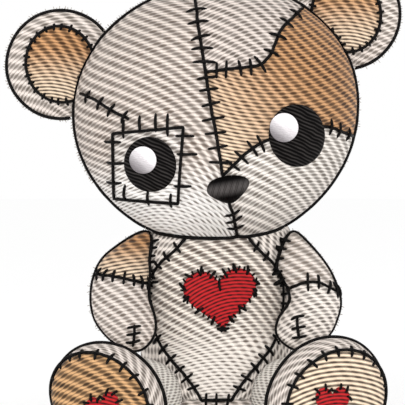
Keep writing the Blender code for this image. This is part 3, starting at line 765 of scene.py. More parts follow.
finishes = {
    # the lower face turns white: partly its own tone, partly painted light in the shade under the chin
    "face_left_panel": {**cream, **fadeDown(-0.16, -0.13, whiteWithPaintedLight)},
    "crown_panel": {**pale, "light": "e9dcd3", "dash": "7a6c61"},
    "cheek_panel": {**pale, "light": "f7efe7", "dash": "8b7f73"},
    "face_brown_panel": {**brown, **fadeDown(-0.168, -0.09, faded, (-0.75, 0, -0.65))},
    "head_back_left": cream,
    "head_back_right": cream,
    # the patch's lower part turns white the same way, partly with painted light
    "eye_patch": {**pale, "light": "ece4dd", "dash": "857970", **fadeDown(-0.16, -0.135, whiteWithPaintedLight)},
    "belly_panel": {**cream, "light": "fdf2e6", "dash": "7b675a",
                    **fadeDown(-0.08, -0.045, {"light": "f7eee5", "dash": "6d5e52"})},
    # the sides: pale cotton, paler in part with painted light
    "body_side_left": palest,
    "body_side_right": palest,
    "body_back_left": cream,
    "body_back_right": cream,
    "seat_panel": pale,
    "arm_left_upper": {**brown, **fadeDown(-0.111, -0.092, faded)},
    "arm_left_lower": {**pale, "light": "f1e5dc", "dash": "918175"},
    "arm_right_upper": {**cream, "light": "f4e9e0", "dash": "aa998b"},
    # paler in part with painted light, as on the sides
    "arm_right_lower": palest,
    "ear_left": pale,
    "ear_right": pale,
    # the thighs: whiter with painted light, in their shade
    "leg_left": thighWhiteWithPaintedLight,
    "leg_right": thighWhiteWithPaintedLight,
    "foot_left": {**pale, "slot": "worn_cream_cloth"},
    "foot_right": {**pale, "slot": "worn_cream_cloth"},
    "sole_left_pad": {**brown, "light": "daab7a", "dash": "47311d", "lines": 0.0},
    "sole_right_pad": {"light": "fde5c9", "dash": "2a170b", "slot": "tan_cloth", "pitch": 2.35,
                       "lines": 0.8},
    "ear_left_pad": {**brown, **fadeDown(-0.217, -0.19, faded)},
    "ear_right_pad": {**brown, **fadeDown(-0.245, -0.217, faded)},
    "belly_heart": red,
    "sole_left_heart": red,
    "sole_right_heart": red,
    "eye_left": eyeBlack,
    "eye_right": eyeBlack,
    # the nose: a painted sheen, a lighter band across its middle, near black above and below it
    "nose": {**satin, "light": "575352", "dash": "413d3c", "slot": "black_satin_thread", "pitch": 0.9,
             "relief": 0.3, "roughness": 0.5, "specular": 0.02,
             **fadeDown(0.0002, 0.0049, {"light": "070606", "dash": "060505"}, (0.17, 0, -1),
                        around=-0.1366)},
    "eye_left_glint": {**glint, **fadeDown(-0.104, -0.0932, glintShade, (-0.6, 0, -0.8))},
    "eye_right_glint": {**glint, **fadeDown(-0.1615, -0.1505, glintShade, (-0.6, 0, -0.8))},
}
slotOf = {name: look["slot"] for name, look in finishes.items()}
materialOf = {name: threadRows(name, **look) for name, look in finishes.items()}
blackThread = twistedThread("black_sewing_thread", "0b0a0a")
greyLint = twistedThread("grey_thread_ends", "b3aba4", 0.8)
woolFill = carded("carded_wool")


def newObject(name, data):
    made = bpy.data.objects.new(name, data)
    bpy.context.scene.collection.objects.link(made)
    return made


def faceOutwards(bm):
    bm.normal_update()
    bmesh.ops.recalc_face_normals(bm, faces=bm.faces)
    bm.normal_update()


def link(bm, name, material, slot):
    # a finished mesh becomes a piece of the bear
    mesh = bpy.data.meshes.new(name)
    bm.to_mesh(mesh)
    made = newObject(name, mesh)
    mesh.materials.append(material)
    mesh.shade_smooth()
    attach(made, "root")
    return made


def quadBall(cuts):
    # a ball of even four-sided faces, from a cube
    bm = bmesh.new()
    bmesh.ops.create_cube(bm, size=2)
    bmesh.ops.subdivide_edges(bm, edges=bm.edges, cuts=cuts, use_grid_fill=True)
    for vert in bm.verts:
        vert.co = Vector([math.tan(c * math.pi / 4) for c in vert.co]).normalized()
    return bm


def lumpAt(point):
    # stuffing shows through the cloth as low soft lumps, always inwards from the full form
    near = noise.noise(point / cloth["lumpSize"])
    fine = noise.noise(point / cloth["lumpSize"] * 2.7 + Vector((3, 5, 7)))
    rest = smoothStep(point.z / cloth["flatNearFloor"])
    return cloth["lump"] * (0.5 + 0.38 * near + 0.18 * fine) * rest


def buildBody(cuts, place, panelOf, snap, rowsOf, seamPoints):
    # one stuffed form: its panels meet on the seam lines, and the cloth dips into every seam
    bm = quadBall(cuts)
    units = [vert.co.copy() for vert in bm.verts]
    names = [panelOf(face.calc_center_median().normalized()) for face in bm.faces]
    for vert in bm.verts:
        touching = {names[face.index] for face in vert.link_faces}
        if len(touching) > 1:
            units[vert.index] = snap(units[vert.index], touching)
    for vert in bm.verts:
        vert.co = place(units[vert.index])
    faceOutwards(bm)
    for vert, move in [(vert, vert.normal * lumpAt(vert.co)) for vert in bm.verts]:
        vert.co -= move
    smooth = BVHTree.FromBMesh(bm)
    tree = KDTree(len(seamPoints))
    for i, point in enumerate(seamPoints):
        tree.insert(point, i)
    tree.balance()
    bm.normal_update()
    for vert, normal in [(vert, vert.normal.copy()) for vert in bm.verts]:
        off = tree.find(vert.co)[2]
        if off < 4 * cloth["grooveWidth"]:
            vert.co -= normal * cloth["groove"] * math.exp(-(off / cloth["grooveWidth"]) ** 2)
    bm.normal_update()
    return {"bm": bm, "units": units, "names": names, "rows": rowsOf, "smooth": smooth,
            "real": BVHTree.FromBMesh(bm)}


def setRows(bm, rowsOf, piece, units, turnLength=None):
    # lay the rows' map: mm along the row and mm across the rows
    layer = bm.loops.layers.uv.new("rows")
    for face in bm.faces:
        first = None
        for loop in face.loops:
            along, across = rowsOf(piece, loop.vert.co, units[loop.vert.index])
            if turnLength:
                first = along if first is None else first
                along -= turnLength * round((along - first) / turnLength)
            loop[layer].uv = (along, across)


def declareSheet(bm, restsOn, layers=1):
    area = sum(face.calc_area() for face in bm.faces) / layers


def cutPanels(body, stuffing, turnLength=None):
    for name in sorted(set(body["names"])):
        part = body["bm"].copy()
        part.faces.ensure_lookup_table()
        setRows(part, body["rows"], name, body["units"], turnLength)
        drop = [face for face in part.faces if body["names"][face.index] != name]
        bmesh.ops.delete(part, geom=drop, context="FACES")
        border = {vert for vert in part.verts if vert.is_boundary}
        moves = []
        for vert in border:
            others = [edge.other_vert(vert) for edge in vert.link_edges]
            inner = [other.co for other in others if other not in border]
            if inner:
                towards = sum(inner, Vector()) / len(inner) - vert.co
                moves.append((vert, towards.normalized() * cloth["edgeGap"]))
        for vert, move in moves:
            vert.co += move
        part.normal_update()
        panel = link(part, name, materialOf[name], slotOf[name])
        wall = panel.modifiers.new("cloth", "SOLIDIFY")
        wall.thickness = cloth["thick"]
        wall.offset = -1
        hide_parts(name)
        declareSheet(part, stuffing)
        part.free()


def makeStuffing(name, cuts, place):
    # the loose fill of one form, as the closed space that it takes up
    bm = quadBall(cuts)
    for vert in bm.verts:
        vert.co = place(vert.co.copy())
    faceOutwards(bm)
    inset = cloth["thick"] + cloth["gap"] + cloth["groove"]
    moves = [(vert, vert.normal * (lumpAt(vert.co) + inset)) for vert in bm.verts]
    for vert, move in moves:
        vert.co -= move
    fill = link(bm, name, woolFill, "wool_stuffing")
    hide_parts(name)
    bm.free()


def castOn(view, trees, x, z):
    # the first cloth met from the front of a view, at a place in it
    out = view.to_3x3() @ Vector((0, 0, 1))
    start = view @ Vector((x, z, castFrom))
    best = None
    for tree in trees:
        hit, normal, _, far = tree.ray_cast(start, -out)
        if hit and (best is None or far < best[2]):
            best = (hit, normal, far)
    return best[:2] if best else None


def surfaceAt(trees, point, normal, reach=9 * mm):
    # the cloth met along a normal near a point
    best = None
    for tree in trees:
        hit, facing, _, far = tree.ray_cast(point + normal * reach, -normal, 2.2 * reach)
        if hit and (best is None or far < best[2]):
            best = (hit, facing, far)
    return best[:2] if best else (point, normal)


def makeTrim(name, outline, centre, view, trees, low, thick, restsOn, segments=96, rings=28,
             roundness=5.0):
    # a flat trim that follows the cloth under it: a ball pressed to the outline, thick, with a rounded edge
    bm = bmesh.new()
    bmesh.ops.create_uvsphere(bm, u_segments=segments, v_segments=rings, radius=1)
    flatPlace = []
    centre = Vector(centre)
    out = view.to_3x3() @ Vector((0, 0, 1))
    for vert in bm.verts:
        turn = math.atan2(vert.co.y, vert.co.x) / (2 * math.pi) % 1
        reach = min(math.hypot(vert.co.x, vert.co.y), 1)
        place = centre.lerp(Vector(outline(turn)), reach)
        hit, normal = castOn(view, trees, place.x, place.y)
        rise = thick * max(1 - reach ** roundness, 0) ** (1 / roundness) if vert.co.z > 1e-5 else 0
        flatPlace.append(place)
        # the outline stays where the view shows it, however thick the trim is
        vert.co = hit + out * (low + rise) / max(normal.dot(out), 0.4)
    faceOutwards(bm)
    layer = bm.loops.layers.uv.new("rows")
    for face in bm.faces:
        for loop in face.loops:
            place = flatPlace[loop.vert.index]
            loop[layer].uv = rowPlace(name, place.x / mm, place.y / mm)
    trim = link(bm, name, materialOf[name], slotOf[name])
    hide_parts(name)
    if thick > 3 * mm:
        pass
    else:
        declareSheet(bm, restsOn, layers=2)
    tree = BVHTree.FromBMesh(bm)
    bm.free()
    return tree


def ovalOutline(width, height, centre, turn=0.0, uneven=0.0):
    def at(share):
        angle = share * 2 * math.pi
        wobble = 1 + uneven * noise.noise(Vector((math.cos(angle), math.sin(angle), width * 500)) * 2.5)
        point = Vector((width / 2 * math.cos(angle), height / 2 * math.sin(angle))) * wobble
        point.rotate(Matrix.Rotation(turn, 2))
        return Vector(centre) + point
    return at


def heartOutline(width, height, centre, turn=0.0):
    def at(share):
        t = math.pi / 2 - share * 2 * math.pi
        x = math.sin(t) ** 3
        y = (13 * math.cos(t) - 5 * math.cos(2 * t) - 2 * math.cos(3 * t) - math.cos(4 * t) + 2.5) / 29
        point = Vector((x * width / 2, y * height))
        point.rotate(Matrix.Rotation(turn, 2))
        return Vector(centre) + point
    return at


def shapeOutline(points, soften=0):
    # round a closed outline given by its corners, or by a soft curve through them
    line = [Vector(p) for p in points]
    if soften:
        line = smoothLine(points, soften, closed=True)
    lengths = [(line[(i + 1) % len(line)] - p).length for i, p in enumerate(line)]
    total = sum(lengths)

    def at(share):
        left = (share % 1) * total
        for i, length in enumerate(lengths):
            if left <= length:
                return line[i].lerp(line[(i + 1) % len(line)], left / length)
            left -= length
        return line[0]
    return at


# Threads. A cord lies along a seam; a stitch is a short arched thread whose ends dive into the cloth.
cordPaths = []
stitchCount = 0


def spaced(points, step, closed=False):
    # the same path with its points an even step apart
    points = [Vector(p) for p in points]
    if closed:
        points.append(points[0].copy())
    marks = [0.0]
    for a, b in zip(points, points[1:]):
        marks.append(marks[-1] + (b - a).length)
    count = max(round(marks[-1] / step), 2)
    out = []
    for k in range(count + (0 if closed else 1)):
        at = marks[-1] * k / count
        i = min(max(bisect.bisect(marks, at), 1), len(marks) - 1)
        span = marks[i] - marks[i - 1]
        out.append(points[i - 1].lerp(points[i], (at - marks[i - 1]) / span if span else 0))
    return out


def layCord(points, tree, lift, closed=False, thick=1.0):
    # a cord on the cloth nearest to a path; lift is how high its middle line lies above the cloth
    path = []
    for point in spaced(points, thread["step"], closed):
        hit, normal = tree.find_nearest(point)[:2]
        path.append(hit + normal * lift)
    for _ in range(2):
        ends = (path[0].copy(), path[-1].copy())
        last = len(path) - 1
        path = [(path[max(i - 1, 0)] + 2 * p + path[min(i + 1, last)]) / 4 for i, p in enumerate(path)]
        if not closed:
            path[0], path[-1] = ends
    for point in path:
        point.z = max(point.z, thread["radius"] * thick + thread["offFloor"])
    cordPaths.append((path, closed, thick))
    return path


def layRound(view, body, outline, steps=200):
    # the thread that holds the edge of a trim down, half over the trim and half over the cloth beside it
    path = []
    for k in range(steps):
        place = outline(k / steps)
        hit, normal = castOn(view, [body], place.x, place.y)
        path.append(hit + normal * (cloth["gap"] + cloth["felt"] + thread["overTrim"]))
        path[-1].z = max(path[-1].z, thread["radius"])
    cordPaths.append((path, True, thread["trimEdge"]))


def layEdge(points, tree, closed=False, proud=0.0):
    # the heavier cord that runs round the outline of each part
    return layCord(points, tree, thread["piped"] + proud, closed, thread["edge"])


def addStitch(bm, line, facing, radius, segments=6, rings=8):
    # one thread along a short line of points: a small ball drawn out along it
    made = bmesh.ops.create_uvsphere(bm, u_segments=segments, v_segments=rings, radius=1)["verts"]
    last = len(line) - 1
    for vert in made:
        share = (vert.co.z + 1) / 2 * last
        i = min(int(share), last - 1)
        point = line[i].lerp(line[i + 1], share - i)
        ahead = (line[i + 1] - line[i]).normalized()
        aside = facing.cross(ahead).normalized()
        upward = ahead.cross(aside)
        flat = Vector((vert.co.x, vert.co.y))
        ring = radius * squared(vert.co.z, 5)
        flat = flat.normalized() * ring if flat.length > 1e-6 else flat * 0
        vert.co = point + aside * flat.x + upward * flat.y
        vert.co.z = max(vert.co.z, thread["offFloor"])


def sewStitch(trees, middle, normal, direction, length, radius=thread["stitchRadius"],
              lift=thread["stitchLift"], count=8):
    global stitchCount
    line = []
    for k in range(count + 1):
        share = k / count * 2 - 1
        hit, facing = surfaceAt(trees, middle + direction * length / 2 * share, normal)
        rise = lift - (lift + thread["stitchDive"]) * abs(share) ** 3.5
        line.append(hit + facing * rise)
    for _ in range(2):
        inner = [(line[i - 1] + 2 * line[i] + line[i + 1]) / 4 for i in range(1, count)]
        line = [line[0]] + inner + [line[-1]]
    addStitch(black, line, normal, radius)
    stitchCount += 1


def sewBetween(view, trees, start, end):
    # one stitch between two places of a view, in mm
    (a, normal), (b, other) = (castOn(view, trees, x * mm, z * mm) for x, z in (start, end))
    sewStitch(trees, (a + b) / 2, (normal + other).normalized(), (b - a).normalized(), (b - a).length)


def sewAlong(trees, path, count, length, start=0.0, end=1.0, lean=0.0, stray=0.12, shift=0.0, **own):
    # stitches across a path, evenly spaced between two shares of it; lean turns them all
    last = len(path) - 1
    for k in range(count):
        share = start + (end - start) * (k + 0.5 + chance.uniform(-0.12, 0.12)) / count
        i = min(max(int(share * last), 1), last - 1)
        point = path[i].lerp(path[i + 1], min(max(share * last - i, 0), 1))
        ahead = (path[i + 1] - path[i - 1]).normalized()
        normal = trees[0].find_nearest(point)[1]
        across = normal.cross(ahead).normalized()
        turn = lean + chance.uniform(-stray, stray) * 1.6
        direction = (across * math.cos(turn) + ahead * math.sin(turn)).normalized()
        long = length * chance.uniform(0.88, 1.12)
        sewStitch(trees, point + across * shift, normal, direction, long, **own)


def ring(pointOf, steps):
    return [pointOf(2 * math.pi * i / steps) for i in range(steps)]


def openPart(points, hidden):
    # the part of a closed ring that its neighbour doesn't hide, from end to end
    outside = [i for i, p in enumerate(points) if not hidden(p)]
    first = next(i for i in outside if (i - 1) % len(points) not in outside)
    return [points[(first + k) % len(points)] for k in range(len(outside))]


def seamOver(across, low, high):
    # a seam across the face, as far as the head's edge
    places = [(k / 100, across(k / 100)) for k in range(low, high)]
    return [onHead(x, z) for x, z in places if x ** 2 + z ** 2 < 1.0]


print("head")
headSeams = {
    "middle": [onHead(midline(k / 100), k / 100) for k in range(99, -100, -1)],
    "crown": seamOver(crown, -3, 76),
    "cheek": seamOver(cheek, -3, 100),
    "back": [onHead(midline(k / 100), k / 100, True) for k in range(99, -100, -1)],
    "scar": [onHead(x * mm / (head["width"] / 2), z * mm / (head["height"] / 2))
             for x, z in smoothLine(head["scar"])],
}
headRing = ring(lambda turn: headPoint(Vector((math.cos(turn), 0, math.sin(turn)))), 160)
headPaths = {name: [headPoint(unit) for unit in line] for name, line in headSeams.items()}
headBody = buildBody(head["cuts"], headPoint, headPanel, headSnap, headRows,
                     [point for line in headPaths.values() for point in line] + headRing)
cutPanels(headBody, "head_stuffing")
makeStuffing("head_stuffing", 26, headPoint)

print("face")
face = {"patch": [(-0.79, -0.49), (-0.36, -0.6), (-0.235, -0.055), (-0.71, -0.01)],
        "eyes": {"left": ((-0.506, -0.285), 27.7 * mm, 29.2 * mm),
                 "right": ((0.508, -0.263), 30.2 * mm, 33 * mm)},
        "glints": {"left": ((-0.547, -0.243), 14.4 * mm), "right": ((0.427, -0.187), 15.2 * mm)},
        "nosePlace": (-0.012, -0.585), "nose": (22.6 * mm, 15 * mm), "noseRaise": 1.2 * mm,
        "noseOutline": [(-1.0, 0.12), (-0.72, 0.82), (0.1, 1.0), (0.8, 0.72), (1.0, 0.2), (0.62, -0.5),
                        (0.0, -1.0), (-0.68, -0.5)]}


def headPlace(place):
    return Vector((place[0] * head["width"] / 2, place[1] * head["height"] / 2))


onFace = [headBody["smooth"]]
patchCorners = [headPlace(corner) for corner in face["patch"]]
patchMiddle = sum(patchCorners, Vector((0, 0))) / 4
patchOutline = shapeOutline(patchCorners)
patchTree = makeTrim("eye_patch", patchOutline, patchMiddle, headView, onFace, cloth["gap"], cloth["felt"],
                     "face_left_panel", segments=120)
overPatch = cloth["felt"] + 2 * cloth["gap"]
for label, low, under in (("left", overPatch, "eye_patch"), ("right", cloth["gap"], "face_brown_panel")):
    place, wide, tall = face["eyes"][label]
    centre = headPlace(place)
    makeTrim("eye_" + label, ovalOutline(wide, tall, centre), centre, headView, onFace, low,
             cloth["eyeFelt"], under, roundness=3.0)
    place, size = face["glints"][label]
    centre = headPlace(place)
    makeTrim("eye_" + label + "_glint", ovalOutline(size, size, centre), centre, headView, onFace,
             low + cloth["eyeFelt"] + cloth["gap"], cloth["felt"], "eye_" + label, segments=64, rings=20,
             roundness=2.2)
centre = headPlace(face["nosePlace"]) + Vector((0, face["noseRaise"]))
wide, tall = face["nose"]
nosePoints = [centre + Vector((x * wide / 2, y * tall / 2)) for x, y in face["noseOutline"]]
makeTrim("nose", shapeOutline(nosePoints, 6), centre, headView, onFace, cloth["gap"], cloth["noseThick"],
         "face_left_panel", roundness=2.0)

print("torso")
seatRing = ring(lambda turn: torsoPoint(onTorso(x=torsoSpan(torso["seatSeam"])[0] * math.cos(turn),
                                                z=torso["seatSeam"], back=math.sin(turn) > 0)), 120)
heights = [z * mm for z in range(25, 121)]
bellySeams = [[onTorso(x=side * belly(z / mm) * mm, z=z) for z in heights] for side in labelOf]
sideSeams = [[onTorso(x=side, y=torso["sideSeam"], z=z) for z in heights] for side in labelOf]
backSeam = [onTorso(x=0, z=z, back=True) for z in heights]
torsoSeams = [[torsoPoint(unit) for unit in line] for line in bellySeams + sideSeams + [backSeam]]
torsoSeams = [[p for p in line if not insideHead(p, 0.5 * mm)] for line in torsoSeams]


def neckAt(turn):
    # where the torso's cloth meets the head, going round
    low, high = 0.3, 0.98
    for _ in range(20):
        along = (low + high) / 2
        flat = math.sqrt(1 - along * along)
        point = torsoPoint(Vector((flat * math.cos(turn), flat * math.sin(turn), along)))
        low, high = (low, along) if insideHead(point, 0) else (along, high)
    return point


neckRing = ring(neckAt, 120)
torsoBody = buildBody(torso["cuts"], torsoPlaced, torsoPanel, torsoSnap, torsoRows,
                      [p for line in torsoSeams for p in line] + seatRing)
cutPanels(torsoBody, "torso_stuffing")
makeStuffing("torso_stuffing", 20, torsoPlaced)
heart = {"belly": (39.5 * mm, 33.5 * mm, (2.2 * mm, torso["height"] - 49.5 * mm), math.radians(5)),
         "sole": 19 * mm, "solePlace": {-1: (3.5 * mm, -4.5 * mm), 1: (-2 * mm, -2.5 * mm)},
         "soleTurn": {-1: 20, 1: 0}, "long": (8, 5.6 * mm), "short": (20, 2.9 * mm),
         "soleLong": (7, 4.0 * mm), "sewn": ((0.31, 0.72), (0.78, 1.19)),
         "soleSewn": ((0.3, 0.72), (0.78, 1.2))}
bellyHeart = heartOutline(*heart["belly"])
heartTree = makeTrim("belly_heart", bellyHeart, heart["belly"][2], worldView, [torsoBody["smooth"]],
                     cloth["gap"], cloth["felt"], "belly_panel", segments=120)

print("arms")
armBody, armPipes, elbowRings = {}, {}, {}
for side, label in labelOf.items():
    elbow = ring(lambda turn: armPoint(side, elbowUnit(side, turn)), 72)
    profile = ring(lambda turn: armPoint(side, Vector((math.cos(turn), 0, math.sin(turn)))), 120)
    armBody[side] = buildBody(arms["cuts"], armPlaced(side), armPanel(side), elbowSnap(side), armRows(side),
                              elbow + profile)
    cutPanels(armBody[side], "arm_" + label + "_stuffing")
    makeStuffing("arm_" + label + "_stuffing", 14, armPlaced(side))
    armPipes[side], elbowRings[side] = profile, elbow

print("legs")


def onLeg(side, around, along):
    flat = math.sqrt(1 - along * along)
    return legPoint(side, Vector((around.x * flat, around.y * flat, along)))


def footEdge(side, around):
    # the foot's outline as it is seen from the front, where its edge seam runs
    middle = legFrame[side] @ Vector((0, 0, legs["length"] / 2))
    places = [onLeg(side, around, legs["edgeFrom"] + (legs["edgeTo"] - legs["edgeFrom"]) * k / 30)
              for k in range(31)]
    return max(places, key=lambda p: math.hypot(p.x - middle.x, p.z - middle.z))


legBody, soleTrees, soleOutlines = {}, {}, {}
sole = {"size": (58 * mm, 49 * mm), "turn": math.radians(34), "place": (2 * mm, -1 * mm), "uneven": 0.01,
        "stitches": (22, 7.0 * mm)}
overPad = cloth["felt"] + 2 * cloth["gap"]
for side, label in labelOf.items():
    around = ring(lambda turn: Vector((math.cos(turn), math.sin(turn))), 120)
    seam = [onLeg(side, a, legs["seamPlace"]) for a in around]
    edge = [footEdge(side, a) for a in around]
    body = buildBody(legs["cuts"], legPlaced(side), legPanel(side), legSnap, legRows(side), seam + edge)
    turnLength = 2 * math.pi * follow["footTurn"] * legs["foot"][side][0] / 2 / mm
    cutPanels(body, "leg_" + label + "_stuffing", turnLength)
    makeStuffing("leg_" + label + "_stuffing", 16, legPlaced(side))
    legBody[side] = body
    trees = [body["smooth"]]
    centre = (side * sole["place"][0], sole["place"][1])
    soleOutlines[side] = ovalOutline(*sole["size"], centre, side * sole["turn"], sole["uneven"])
    padTree = makeTrim("sole_" + label + "_pad", soleOutlines[side], centre, legFrame[side], trees,
                       cloth["gap"], cloth["felt"], "foot_" + label)
    centre, turn = heart["solePlace"][side], math.radians(heart["soleTurn"][side])
    outline = heartOutline(heart["sole"], heart["sole"], centre, turn)
    smallHeart = makeTrim("sole_" + label + "_heart", outline, centre, legFrame[side], trees, overPad,
                          cloth["felt"], "sole_" + label + "_pad", segments=80, rings=20)
    soleTrees[side] = (trees[0], padTree, smallHeart, edge, outline)

print("ears")
earTrees = {}


def padOutlineOf(side, outward):
    # the pad's outline, whose inner edge stops at the head
    oval = ovalOutline(*ears["pad"], (0, 0), 0.0, ears["padUneven"])
    out = (earFrame[side].to_3x3() @ outward.to_3d()).normalized()

    def at(share):
        point = oval(share)
        start = earFrame[side] @ Vector((point.x, point.y, ears["thick"] * 0.45))
        clear = slideClear(start, out, lambda p: insideHead(p, 0.6 * mm))
        moved = earFrame[side].inverted() @ clear
        return Vector((moved.x, moved.y))
    return at


for side, label in labelOf.items():
    rim = ring(lambda turn: earPoint(side, Vector((math.cos(turn), math.sin(turn), 0))), 120)
    body = buildBody(ears["cuts"], earPlaced(side), lambda unit: "ear", None, earRows(side), rim)
    setRows(body["bm"], body["rows"], "ear_" + label, body["units"])
    ear = link(body["bm"], "ear_" + label, materialOf["ear_" + label], slotOf["ear_" + label])
    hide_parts("ear_" + label)
    outward = Vector((side * math.cos(ears["angle"]), math.sin(ears["angle"])))
    padOutline = padOutlineOf(side, outward)
    padTree = makeTrim("ear_" + label + "_pad", padOutline, outward * ears["padOut"], earFrame[side],
                       [body["smooth"]], cloth["gap"], cloth["felt"], "ear_" + label)
    earTrees[side] = (body["smooth"], padTree, rim, padOutline, body["real"])

print("threads")
black = bmesh.new()


def lineOn(view, trees, outline, steps, start, end):
    # an outline of a view laid on the cloth
    points = []
    for k in range(steps):
        place = outline(start + (end - start) * k / steps)
        hit = castOn(view, trees, place.x, place.y)
        if hit:
            points.append(hit[0])
    return points


def sewRound(view, trees, outline, count, length, start=0.0, end=1.0, **own):
    # stitches across a trim's outline, between two shares of it
    path = lineOn(view, trees, outline, 160, start, end)
    if end - start == 1.0:
        path.append(path[0])
    sewAlong(trees, path, count, length, **own)


# head: piped edge, then the seams with their cross stitches
realHead = headBody["real"]
headCord = layEdge(openPart(headRing, lambda p: insideTorso(p, -0.8 * mm)), realHead,
                   proud=thread["headProud"])
layEdge(neckRing, realHead, closed=True)
for line in headPaths.values():
    layCord([p for p in line if not insideTorso(p, 1 * mm)], realHead, seamLift)
# seam, number of stitches, their length, the shares of the seam that they run between, and their lean
headStitches = [("middle", 13, 11.8 * mm, 0.02, 0.70, 0.0), ("middle", 3, 10.5 * mm, 0.865, 0.955, -0.25),
                ("crown", 9, 10.2 * mm, 0.04, 0.98, 0.0), ("cheek", 4, 9.8 * mm, 0.04, 0.34, 0.0),
                ("cheek", 3, 8.4 * mm, 0.78, 0.98, 0.0), ("scar", 4, 9.0 * mm, 0.1, 1.0, 0.3),
                ("back", 16, 10.2 * mm, 0.04, 0.86, 0.0)]
for name, *stitches in headStitches:
    sewAlong(onFace, headPaths[name], *stitches)

# eye patch: its edge thread and the long stitches over it
onPatch = [headBody["smooth"], patchTree]
layRound(headView, headBody["smooth"], patchOutline)
patchStitches = [((-48.8, 5.4), (-50.5, -4.5)), ((-39.9, 6.4), (-41.5, -2.9)),
                 ((-31.4, 6.0), (-33.2, -4.3)), ((-25.2, 4.9), (-27.4, -7.5)),
                 ((-23.7, -7.6), (-13.4, -9.4)), ((-24.8, -17.0), (-13.5, -19.0)),
                 ((-29.3, -33.2), (-19.5, -35.0)), ((-54.1, -28.0), (-55.9, -37.8)),
                 ((-42.6, -33.0), (-44.1, -41.8)), ((-31.0, -36.7), (-32.4, -44.9)),
                 ((-61.7, -4.1), (-51.8, -5.9)), ((-62.6, -15.2), (-52.2, -17.1)),
                 ((-64.9, -25.5), (-55.6, -27.2))]
for ends in patchStitches:
    sewBetween(headView, onPatch, *ends)

# belly and body
realTorso = torsoBody["real"]
onTorsoCloth = [torsoBody["smooth"]]
for i, line in enumerate(torsoSeams):
    layCord(line, realTorso, thread["piped"] if i in (2, 3) else seamLift)
# the seat seam shows below the belly and round the back; the legs press on it between
seatFront = sorted([p for p in seatRing if p.y < 0 and abs(p.x) < 9 * mm], key=lambda p: p.x)
seatBack = sorted([p for p in seatRing if p.y > -4 * mm], key=lambda p: math.atan2(p.y + 0.02, p.x))
for line in (seatFront, seatBack):
    layCord(line, realTorso, seamLift)
# number of stitches, their length, and the shares of the seam that they run between
bodyStitches = {"belly": ((8, 8.6 * mm, 0.05, 0.5), (8, 7.4 * mm, 0.5, 0.97)),
                "back": (11, 9.0 * mm, 0.05, 0.95), "seatFront": (3, 7.5 * mm, 0.0, 1.0),
                "seatBack": (20, 7.5 * mm, 0.03, 0.97)}
for line in torsoSeams[:2]:
    for stitches in bodyStitches["belly"]:
        sewAlong(onTorsoCloth, line, *stitches)
sewAlong(onTorsoCloth, torsoSeams[4], *bodyStitches["back"])
sewAlong(onTorsoCloth, seatFront, *bodyStitches["seatFront"])
sewAlong(onTorsoCloth, seatBack, *bodyStitches["seatBack"])
onHeart = [torsoBody["smooth"], heartTree]
sewBetween(worldView, onHeart, (1.5, 90.6), (1.9, 83.8))
# a heart's notch and tip stay free of stitches
for start, end in heart["sewn"]:
    sewRound(worldView, onHeart, bellyHeart, *heart["long"], start, end, stray=0.4)
    sewRound(worldView, onHeart, bellyHeart, *heart["short"], start, end, stray=0.3, radius=0.6 * mm,
             lift=0.8 * mm)

# arms: the same numbers for the inner edge, and for the elbow seam in front and behind
armStitches = {-1: {"inner": (6, 5.0 * mm, 0.02, 0.98), "elbow": (7, 7.4 * mm, 0.06, 0.96),
                    "behind": (5, 8 * mm, 0.1, 0.9)},
               1: {"inner": (5, 7.6 * mm, 0.02, 0.98), "elbow": (5, 10.4 * mm, 0.4, 0.99),
                   "behind": (5, 8 * mm, 0.1, 0.9)}}
armCords = {}
for side in labelOf:
    realArm = armBody[side]["real"]
    onArm = [armBody[side]["smooth"]]
    visible = [slideClear(point, Vector((0, -1, 0)), lambda p: insideTorso(p, thread["radius"]))
               for point in armPipes[side]]
    armCords[side] = layEdge(visible, realArm, closed=True)
    layCord(elbowRings[side], realArm, seamLift, closed=True)
    # the arm's inner edge is caught down to the body with short stitches
    inner = [p for p in visible if side * p.x < side * armMiddle(side).x and 84 * mm < p.z < 111 * mm]
    inner.sort(key=lambda p: -p.z)
    sewAlong(onArm + onTorsoCloth, inner, *armStitches[side]["inner"], shift=1.0 * mm)
    front = [p for p in elbowRings[side] if p.y < armMiddle(side).y + arms["lean"] * 0.2]
    front.sort(key=lambda p: p.x)
    sewAlong(onArm, front, *armStitches[side]["elbow"])
    back = sorted([p for p in elbowRings[side] if p not in front], key=lambda p: p.x)
    sewAlong(onArm, back, *armStitches[side]["behind"])

# on each paw one long stitch, from its top to its foot, and bars over it at three heights, in mm
pawMarks = {-1: ((-43.8, 66.9), (-44.9, 53.7), (65.3, 61.6, 57.4)),
            1: ((42.9, 70.6), (44.0, 58.4), (70.1, 64.8, 60.0))}
for side, (top, foot, bars) in pawMarks.items():
    trees = [armBody[side]["smooth"]]
    start, normal = castOn(worldView, trees, top[0] * mm, top[1] * mm)
    end = castOn(worldView, trees, foot[0] * mm, foot[1] * mm)[0]
    sewStitch(trees, (start + end) / 2, normal, (end - start).normalized(), (end - start).length)
    for height in bars:
        x = top[0] + (foot[0] - top[0]) * (top[1] - height) / (top[1] - foot[1])
        middle, normal = castOn(worldView, trees, x * mm, height * mm)
        sewStitch(trees, middle, normal, Vector((1, 0, 0.18)).normalized(), 8.2 * mm, lift=1.3 * mm)

# feet: piped sole edge, pad edge and stitches, small heart
for side in labelOf:
    body, padTree, smallHeart, rim, outline = soleTrees[side]
    layEdge(rim, legBody[side]["real"], closed=True)
    layRound(legFrame[side], body, soleOutlines[side])
    sewRound(legFrame[side], [body, padTree], soleOutlines[side], *sole["stitches"])
    for start, end in heart["soleSewn"]:
        sewRound(legFrame[side], [body, padTree, smallHeart], outline, *heart["soleLong"], start, end,
                 stray=0.35, radius=0.7 * mm)

# ears: piped rim, pad edge and its short stitches
earCords = {}
for side in labelOf:
    body, padTree, rim, outline, real = earTrees[side]
    earCords[side] = layEdge(openPart(rim, lambda p: insideHead(p, 0.8 * mm)), real)
    layRound(earFrame[side], body, outline)
    sewRound(earFrame[side], [body, padTree], outline, *ears["stitches"])

